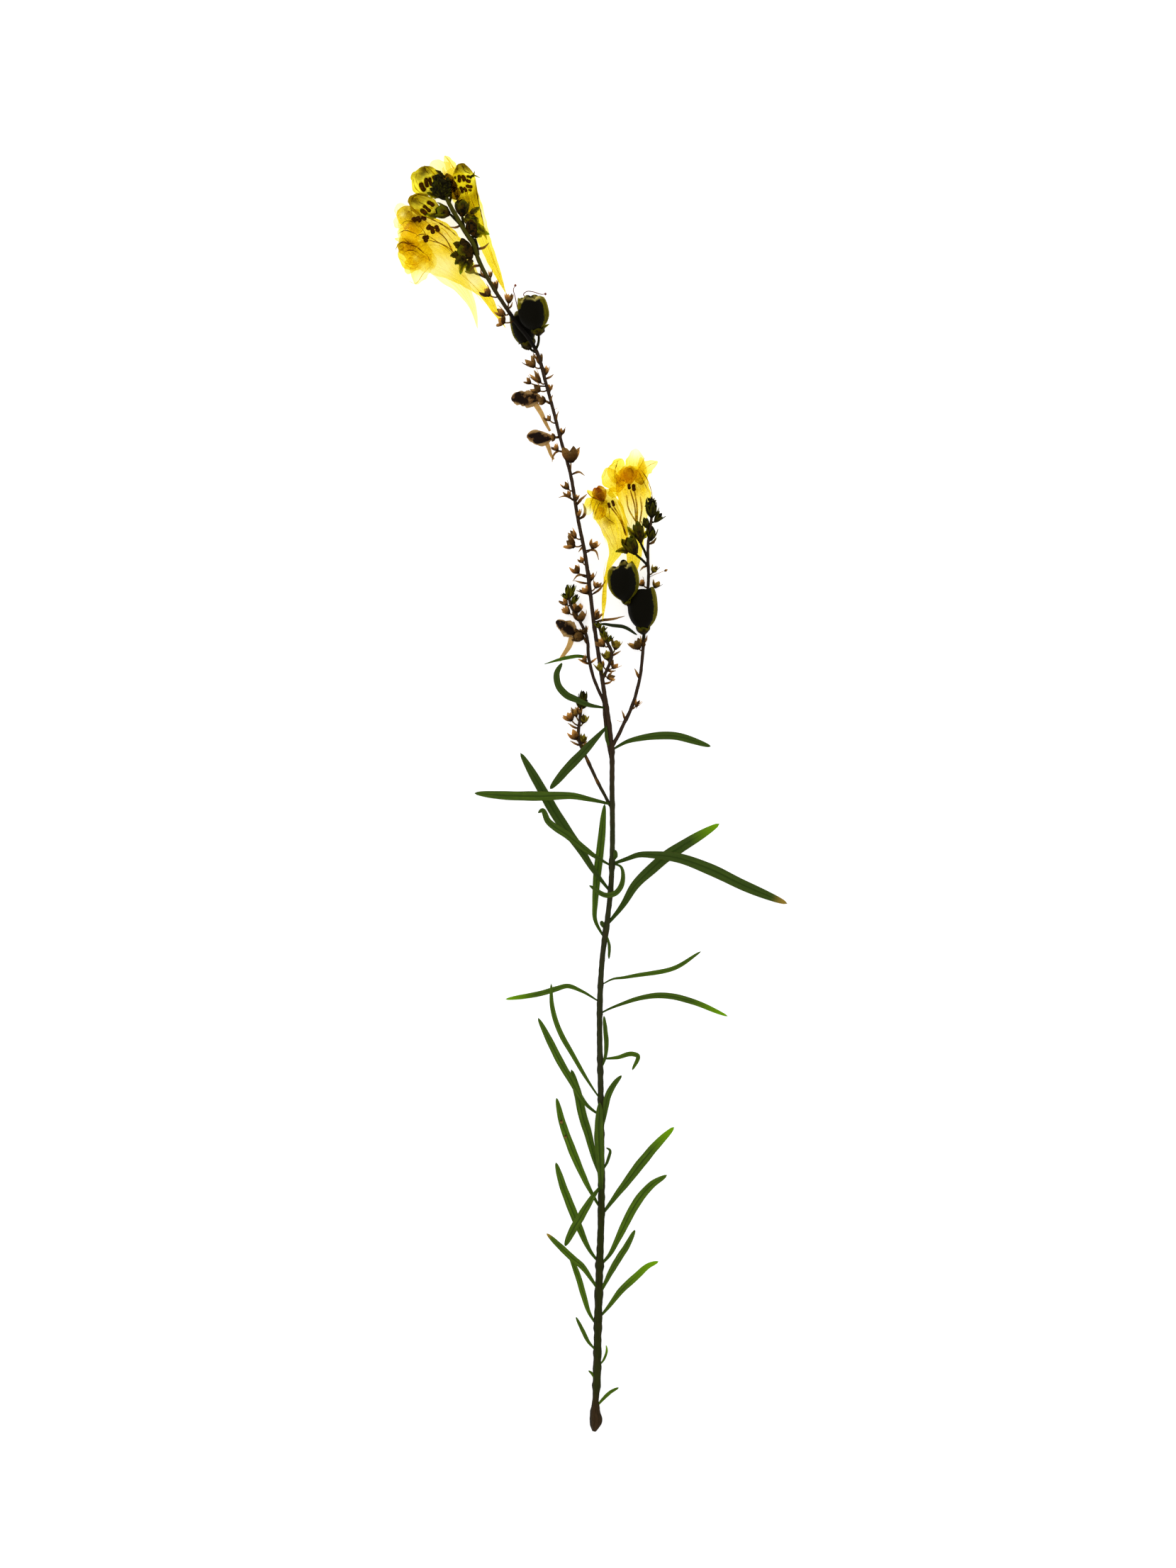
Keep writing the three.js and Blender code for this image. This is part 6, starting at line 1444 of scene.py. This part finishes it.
def crumpledLobe(route, wide, blunt, finish, seed):
    # A lobe of the lip: a thin sheet with a wavy edge that is crumpled up and down. The higher
    # blunt is, the later it narrows towards its end.
    line = smoothLine(toPlace(route), lobeSet["stations"])
    share = np.linspace(0, 1, len(line))
    draw = np.random.default_rng(seed)
    turn = turnOf(lobeSet["sides"])
    c, s = np.cos(turn), np.sin(turn)
    swell = 0.5 + 0.5 * np.sin(np.pi * share**0.8 * 0.86)
    half = wide / 2 * mm * swell * np.sqrt(np.maximum(1 - share**blunt, 0.003))
    waves = [sum(np.sin(share * f + draw.uniform(0, 6.28)) for f in (7, 13, 23)) for edge in range(2)]
    left, right = [1 + lobeSet["ragged"] * wave[:, None] / 1.6 for wave in waves]
    across = half[:, None] * c * np.where(c > 0, left, right)
    flat = line[:, None] + sidesOf(line)[0][:, None] * across[..., None]
    dents = lobeSet["crumple"] * mm * (ripple(flat, 0.0026, seed) + 0.3 * ripple(flat, 0.0009, seed + 1))
    over = lobeSet["thick"] / 2 * mm * s * (1 - 0.6 * c**2) + dents
    return sweep(line, across, np.maximum(over, 0.00012 - line[:, 2:3]), finish)


def crease(route, height, radius, colour, finish, seed):
    # A fold of a petal drawn as a line in its colour, painted shade where the crease is dark; uneven in width
    # and fine at both ends
    line = smoothLine(toPlace([(*point, height) for point in route]), 48)
    share = np.linspace(0, 1, 48)[:, None]
    size = radius * mm * np.sqrt(np.sin(np.pi * (0.02 + 0.96 * share)))
    uneven = 1 + 0.4 * ripple(line, 0.0012, seed)[:, None]
    return rod(line, size * uneven, 8, finish, 0.6, colour)


def toned(points, base, zones):
    # How brown, amber and pale each point is: the base plus soft round zones of u, v, radius in
    # pixels, which of the three, and how much. The brown and some amber zones are painted shade, and
    # some small pale ones are painted highlights.
    place = np.stack([points[:, 0] / pixel + midU, midV - points[:, 1] / pixel], axis=1)
    traits = np.tile(np.asarray(base, float), (len(points), 1))
    for u, v, radius, kind, amount in zones:
        away = np.hypot(place[:, 0] - u, place[:, 1] - v) / radius
        traits[:, kind] += amount * np.exp(-(away**2))
    return np.clip(traits, 0, 1)


# Stamens: the foot of the filaments inside the tube, the height of the anthers, and each pollen
# sac from end to end: u, v, u, v and its width in pixels, then the bends of the filaments.
stamens = {
    "flower_a_stamens": {
        "foot": (640, 358, 5.3), "height": 5.7, "thread": 0.1, "walled": False,
        "sacs": [
            (603, 325, 608, 318, 7), (609, 319, 612, 330.5, 7), (614, 318, 618.5, 328, 7),
            (582, 307, 588, 312.5, 7), (588.5, 305, 594, 313.5, 7), (594, 306, 601, 311, 6.5),
            (597, 333, 602, 342.5, 7), (602, 332, 604, 338, 4),
        ],
        "bends": [((628, 336), (612, 324)), ((632, 342), (598, 310)), ((630, 348), (602, 338))],
    },
    "bud_c_stamens": {
        "foot": (617, 261, 4.7), "height": 4.8, "thread": 0.1, "walled": True,
        "sacs": [
            (593, 257.5, 599.5, 270.5, 8), (601.5, 250.5, 603, 265, 7.5), (606, 250, 609.5, 263, 6.5),
            (610.5, 248, 614, 259, 6),
        ],
        "bends": [((612, 262), (605, 262)), ((612, 259), (609, 258))],
    },
    "bud_d_stamens": {
        "foot": (611, 296, 6.6), "height": 6.7, "thread": 0.1, "walled": True,
        "sacs": [(593, 296, 603, 304, 7.5), (597, 290.5, 608, 299.5, 7), (602.5, 285, 613, 291.5, 7)],
        "bends": [((608, 297), (602, 300)), ((608, 294), (605, 292))],
    },
    "flower_e_stamens": {
        "foot": (659, 276, 6.0), "height": 6.3, "thread": 0.1, "walled": True,
        "sacs": [
            (647.5, 247, 648, 258.5, 6.5), (651, 248, 656.5, 256.5, 7.5), (657, 254.5, 664.5, 257, 6),
            (658, 249.5, 663.5, 250.5, 4.5), (649.5, 263.5, 653, 273.5, 6), (653.5, 265, 658.5, 271.5, 6),
            (657, 262.5, 667, 264.5, 6), (660, 267, 665.5, 270, 5), (641.5, 249, 643.5, 253, 4),
        ],
        "bends": [((656, 270), (654, 264)), ((660, 268), (658, 256))],
    },
    "flower_g_stamens": {
        "foot": (884, 757, 7.0), "height": 7.2, "thread": 0.17, "walled": False,
        "sacs": [(858.5, 709, 861, 717, 4.5), (863, 706, 866, 715, 4.5)],
        "bends": [((876, 732), (865, 714)), ((873, 731), (861, 715))],
    },
    "flower_h_stamens": {
        "foot": (899, 742, 3.0), "height": 3.5, "thread": 0.16, "walled": False,
        "sacs": [(887.5, 682, 888.5, 690.5, 5), (894, 682.5, 895, 693, 6)],
        "bends": [
            ((895, 712), (889, 691)), ((898, 712), (895, 692)), ((886, 715), (884, 698)),
            ((905, 715), (903, 700)),
        ],
    },
}
for i, (name, bloom) in enumerate(blooms.items()):
    finish = petal[bloom["finish"]]
    sacs = stamens.get(name.replace("corolla", "stamens"), {"sacs": []})["sacs"]
    halo = 0.8 if bloom["finish"] == "budSkin" else 0.0  # a bud's skin is paler round its pollen sacs
    halos = [((u + endU) / 2, (v + endV) / 2, wide * 1.2, pale, halo) for u, v, endU, endV, wide in sacs]
    patches = [corollaTube(bloom["rows"], finish, 700 + i)]
    patches += [crumpledLobe(*lobe, finish, 720 + 10 * i + j) for j, lobe in enumerate(bloom["lobes"])]
    for patch in patches:
        patch["traits"] = toned(patch["points"], bloom["base"], bloom["zones"] + halos)
    for row in bloom["creases"]:
        patches.append(crease(*row, finish, 740 + len(patches)))
    buildPiece(name.replace("_corolla", "_petals"), patches, bloom["slot"], name)

# Palates: two swollen humps grown together: foot, tip, radius, how deep and how pale
palates = {
    "flower_a_palate": ((592, 338, 5.5), (563, 322, 5.8), 1.6, 0.05, 0.9),
    "flower_g_palate": ((852, 708, 7.1), (841, 687, 7.6), 1.15, 1, 0),
    "flower_h_palate": ((889, 684, 3.5), (884, 657, 3.6), 1.4, 0.28, 0),
}
for i, (name, (foot, tip, radius, *tones)) in enumerate(palates.items()):
    foot, tip = toPlace([foot, tip])
    side = axisFrame(foot, tip)[1] * radius * 0.45 * mm
    look = (palateVelvet, (0.5, *tones), 780 + i, 28, 24, 0.1, 1.0, 0.62)
    humps = [spindle(foot, tip + side * way, radius * mm, *look) for way in (-1, 1)]
    buildPiece(name.replace("_palate", "_lip_hump"), humps, "palate_orange", name)


def pollenSac(low, high, wide, bend):
    # A kidney-shaped sac: a bent sausage with rounded ends
    share = np.linspace(0.015, 0.985, 14)[:, None]
    side = unit(np.cross([0, 0, 1.0], high - low))
    line = low + (high - low) * share + side * bend * np.sin(np.pi * share)
    size = wide / 2 * (1 - (2 * share - 1) ** 4) ** 0.5 * (1 - 0.12 * np.exp(-(((share - 0.5) / 0.15) ** 2)))
    return rod(line, size, 12, antherBrown, 0.85)


def sacWall(low, high, wide):
    # The bright wall round a sac: a thin thread a little above it that follows its outline
    turn = np.linspace(0.12, 2 * np.pi - 0.12, 26)[:, None]
    side = unit(np.cross([0, 0, 1.0], high - low))
    ring = (low + high) / 2 + (high - low) * 0.56 * np.cos(turn) + side * (wide / 2 + 0.00007) * np.sin(turn)
    return thread(ring + [0, 0, 0.00012], 0.1 * mm, rimYellow, plain, 6, 40)


for i, (name, row) in enumerate(stamens.items()):
    foot = spotAt(row["foot"])
    draw = np.random.default_rng(800 + i)
    patches = []
    for j, (turnAt, top) in enumerate(row["bends"]):
        root = foot + np.array([0.22 * (j - 1), 0.1, 0.12 * j]) * mm
        way = [root, *toPlace([(*turnAt, row["height"]), (*top, row["height"])])]
        trait = (0.55 + 2 * row["thread"], 1, 0)
        patches.append(thread(way, row["thread"] * mm, petal["petalYellow"], trait, 8, 22))
    for u, v, endU, endV, wide in row["sacs"]:
        low, high = toPlace([(u, v, row["height"] + draw.uniform(-0.15, 0.15)), (endU, endV, row["height"])])
        patches.append(pollenSac(low, high, wide * pixel, draw.choice([-1, 1]) * 0.6 * pixel))
        if row["walled"]:
            patches.append(sacWall(low, high, wide * pixel))
    buildPiece(name.replace("_stamens", "_anthers"), patches, "anther_brown", name)

# Capsules: foot in the calyx, plane of the teeth round the open mouth, radius in mm, and the trait:
# how far the flanks are spared the wall's painted shade, how pale the torn rim is, and which flank
# is the wider
capsules = {
    "capsule_t1": {
        "foot": (758, 468, 6.9), "tip": (748.5, 420, 7.1), "radius": 3.0, "mouth": 0.84, "teeth": 0.2,
        "trait": (0.42, 1, 1),
    },
    "capsule_t2": {
        "foot": (744, 489, 2.4), "tip": (733, 440, 2.35), "radius": 2.35, "mouth": 0.85, "teeth": 0.24,
        "trait": (0, 0.4, 0),
    },
    "capsule_r1": {
        "foot": (908, 890, 4.4), "tip": (905.5, 830, 4.5), "radius": 2.95, "mouth": 0.84, "teeth": 0.07,
        "trait": (0.36, 0, 1),
    },
    "capsule_r2": {
        "foot": (882, 849, 6.85), "tip": (877, 795, 6.85), "radius": 3.12, "mouth": 0.74, "teeth": 0.26,
        "trait": (0.9, 0.9, 0.5),
    },
}
capsuleSet = {
    "sides": 60, "wall": 0.2, "teeth": 6, "seeds": 46, "seedSize": 0.75,
    "shares": (0.0, 0.03, 0.08, 0.16, 0.25, 0.38, 0.5, 0.62, 0.75, 0.85, 0.93, 1.0),
}


def capsuleShell(foot, tip, radius, row, seed):
    # Rings up the outside to a toothed rim, then down the inside to the floor. mouth is the width
    # of the rim as a share of the widest ring.
    draw = np.random.default_rng(seed)
    mouth = row["mouth"]
    sizes = [0.12, 0.26, 0.42, 0.66, 0.82, 0.96, 1.0, 1.0, 0.9 + 0.1 * mouth, 0.66 + 0.34 * mouth,
             0.38 + 0.62 * mouth, mouth]
    fine = np.linspace(0, 1, 40)
    size = np.interp(fine, capsuleSet["shares"], sizes)
    for k in range(3):
        size[1:-1] = (size[:-2] + 2 * size[1:-1] + size[2:]) / 4
    along, side, up = axisFrame(foot, tip)
    length = np.linalg.norm(tip - foot)
    turn = turnOf(capsuleSet["sides"])
    wall = capsuleSet["wall"] * mm
    outer = size * radius
    inner = np.maximum(outer[3:][::-1] - wall, 0.1 * wall)
    way = np.concatenate([fine, fine[3:][::-1]]) * length
    reach = np.concatenate([outer, inner])[:, None] * (1 + 0.03 * np.sin(turn * 5 + draw.uniform(0, 6)))
    teeth = capsuleSet["teeth"]
    which = (turn / (2 * np.pi) * teeth + draw.uniform(0, 1)) % teeth
    tall = draw.uniform(0.25, 1.0, teeth)[which.astype(int)]
    notch = row["teeth"] * length * (np.abs(np.sin(np.pi * which)) ** 0.6 * tall - 0.55)
    lift = notch * (way / length)[:, None] ** 6
    line = foot + along * way[:, None]
    frames = (np.broadcast_to(side, line.shape), np.broadcast_to(up, line.shape))
    return sweep(line, reach * np.cos(turn), reach * np.sin(turn), capsuleWall, row["trait"], frames, lift)


def seedPatches(foot, tip, radius, seed):
    # A lumpy core with flat round seeds packed over it, each lying along the core's surface
    draw = np.random.default_rng(seed)
    start, end = foot + (tip - foot) * 0.14, foot + (tip - foot) * 0.92
    core = radius - 0.62 * mm
    made = [spindle(start, end, core, seedBlack, plain, seed, 40, 36, 0.1)]
    along, side, up = axisFrame(start, end)
    for k in range(capsuleSet["seeds"]):
        share = 0.15 + 0.8 * (k + 0.5) / capsuleSet["seeds"]
        out = np.cos(k * goldenTurn) * side + np.sin(k * goldenTurn) * up
        middle = start + (end - start) * share + out * core * (1 - (2 * share - 1) ** 2) ** 0.5 * 0.93
        way = unit(along + 0.5 * draw.normal(size=3))
        reach = capsuleSet["seedSize"] * mm * draw.uniform(0.8, 1.1)
        ends = (middle - way * reach, middle + way * reach)
        made.append(spindle(*ends, reach, seedBlack, plain, seed + k, 10, 8, 0, 0.22))
    return made


for i, (name, row) in enumerate(capsules.items()):
    foot, tip = toPlace([row["foot"], row["tip"]])
    radius = row["radius"] * mm
    buildPiece(name + "_wall", [capsuleShell(foot, tip, radius, row, 840 + i)], "capsule_green", name)
    buildPiece(name + "_seed_mass", seedPatches(foot, tip, radius, 850 + i), "seed_dark", name + "_seeds")

# The dried styles that still stand on the capsules, each with its round stigma
styles = [
    ((731, 438, 2.6), (726.5, 418, 3.0), (724.5, 407, 3.3), (727, 402.5, 3.4)),
    ((742, 421, 7.2), (738.5, 416, 7.5), (743, 412, 7.8), (752, 412.5, 8), (765, 416, 8), (769.5, 415.5, 8)),
]
stylePatches = hairs(styles, 0.1, styleBrown)
for k, route in enumerate(styles):
    end, half = spotAt(route[-1]), [0, 0.0003, 0]
    stylePatches.append(spindle(end - half, end + half, 0.26 * mm, styleBrown, plain, 895 + k, 10, 8, 0.1))
buildPiece("dried_styles", stylePatches, "stalk_brown", "capsule_t1", "capsule_t2")

# Withered flowers, shrunk and crumpled: rows of u, v, height, half width, half height, the spur,
# and where along them the cavity lies that gets painted shade
withered = {
    "withered_flower_w1": {
        "heart": 0.75,
        "rows": [
            (764, 564, 3.1, 0.5, 0.5), (755, 562, 3, 1.2, 0.9), (744, 563, 3, 1.5, 1.2),
            (731, 562, 3, 1.25, 1.1), (721, 562, 3, 0.8, 0.8),
        ],
        "spur": [(754, 568, 3, 0.55), (763, 582, 2.9, 0.5), (770, 597, 2.8, 0.36), (776, 608, 2.7, 0.25)],
    },
    "withered_flower_w2": {
        "heart": 0.5,
        "rows": [
            (779, 617, 3.4, 0.5, 0.5), (770, 618, 3.4, 1.15, 0.9), (760, 618, 3.3, 1.45, 1.1),
            (750, 616, 3.2, 1.1, 1), (743, 615, 3.1, 0.6, 0.6),
        ],
        "spur": [(770, 622, 3.3, 0.5), (774, 632, 3.1, 0.42), (777, 641, 3, 0.32), (781, 648, 2.9, 0.24)],
    },
    "withered_flower_w3": {
        "heart": 0.3,
        "rows": [
            (812, 894, 1.8, 0.75, 0.7), (806, 890, 1.9, 1.4, 1.1), (798, 885, 1.9, 1.35, 1.1),
            (791, 880, 1.8, 0.95, 0.9), (784, 876.5, 1.7, 0.65, 0.65),
        ],
        "spur": [(807, 898, 1.7, 0.6), (803, 911, 1.4, 0.55), (796, 922, 1.2, 0.42), (789, 932, 1.1, 0.3)],
    },
}
for i, (name, row) in enumerate(withered.items()):
    line = smoothLine(toPlace(row["rows"]), 60)
    share = np.linspace(0, 1, 60)[:, None]
    line[:, 3:] *= np.sqrt(np.clip(1 - (2 * share - 1) ** 8, 0.02, 1))
    turn = turnOf(32)
    across, over = line[:, 3:4] * np.cos(turn), line[:, 4:5] * np.sin(turn)
    points = ringPlaces(line, across, over)
    folds = 0.1 * np.cos(4 * turn + 3 * share)
    uneven = 1 + 0.2 * ripple(points, 0.0024, 860 + i) + 0.1 * ripple(points, 0.0009, 870 + i) + folds
    body = sweep(line[:, :3], across * uneven, over * uneven, witheredSkin)
    # painted shade of the cavity, strongest at its heart
    hollow = 0.25 + np.exp(-(((body["grain"][:, 2:3] - row["heart"]) / 0.18) ** 2)) * 0.7
    body["traits"] = hollow * [1, 0, 0]
    spur = smoothLine(toPlace(row["spur"]), 40)
    patches = [body, rod(spur[:, :3], spur[:, 3:4], 12, witheredSkin, 0.3, (0, 0.7, 0.85))]
    buildPiece(name.replace("_flower", "_corolla"), patches, "withered_tan", name)
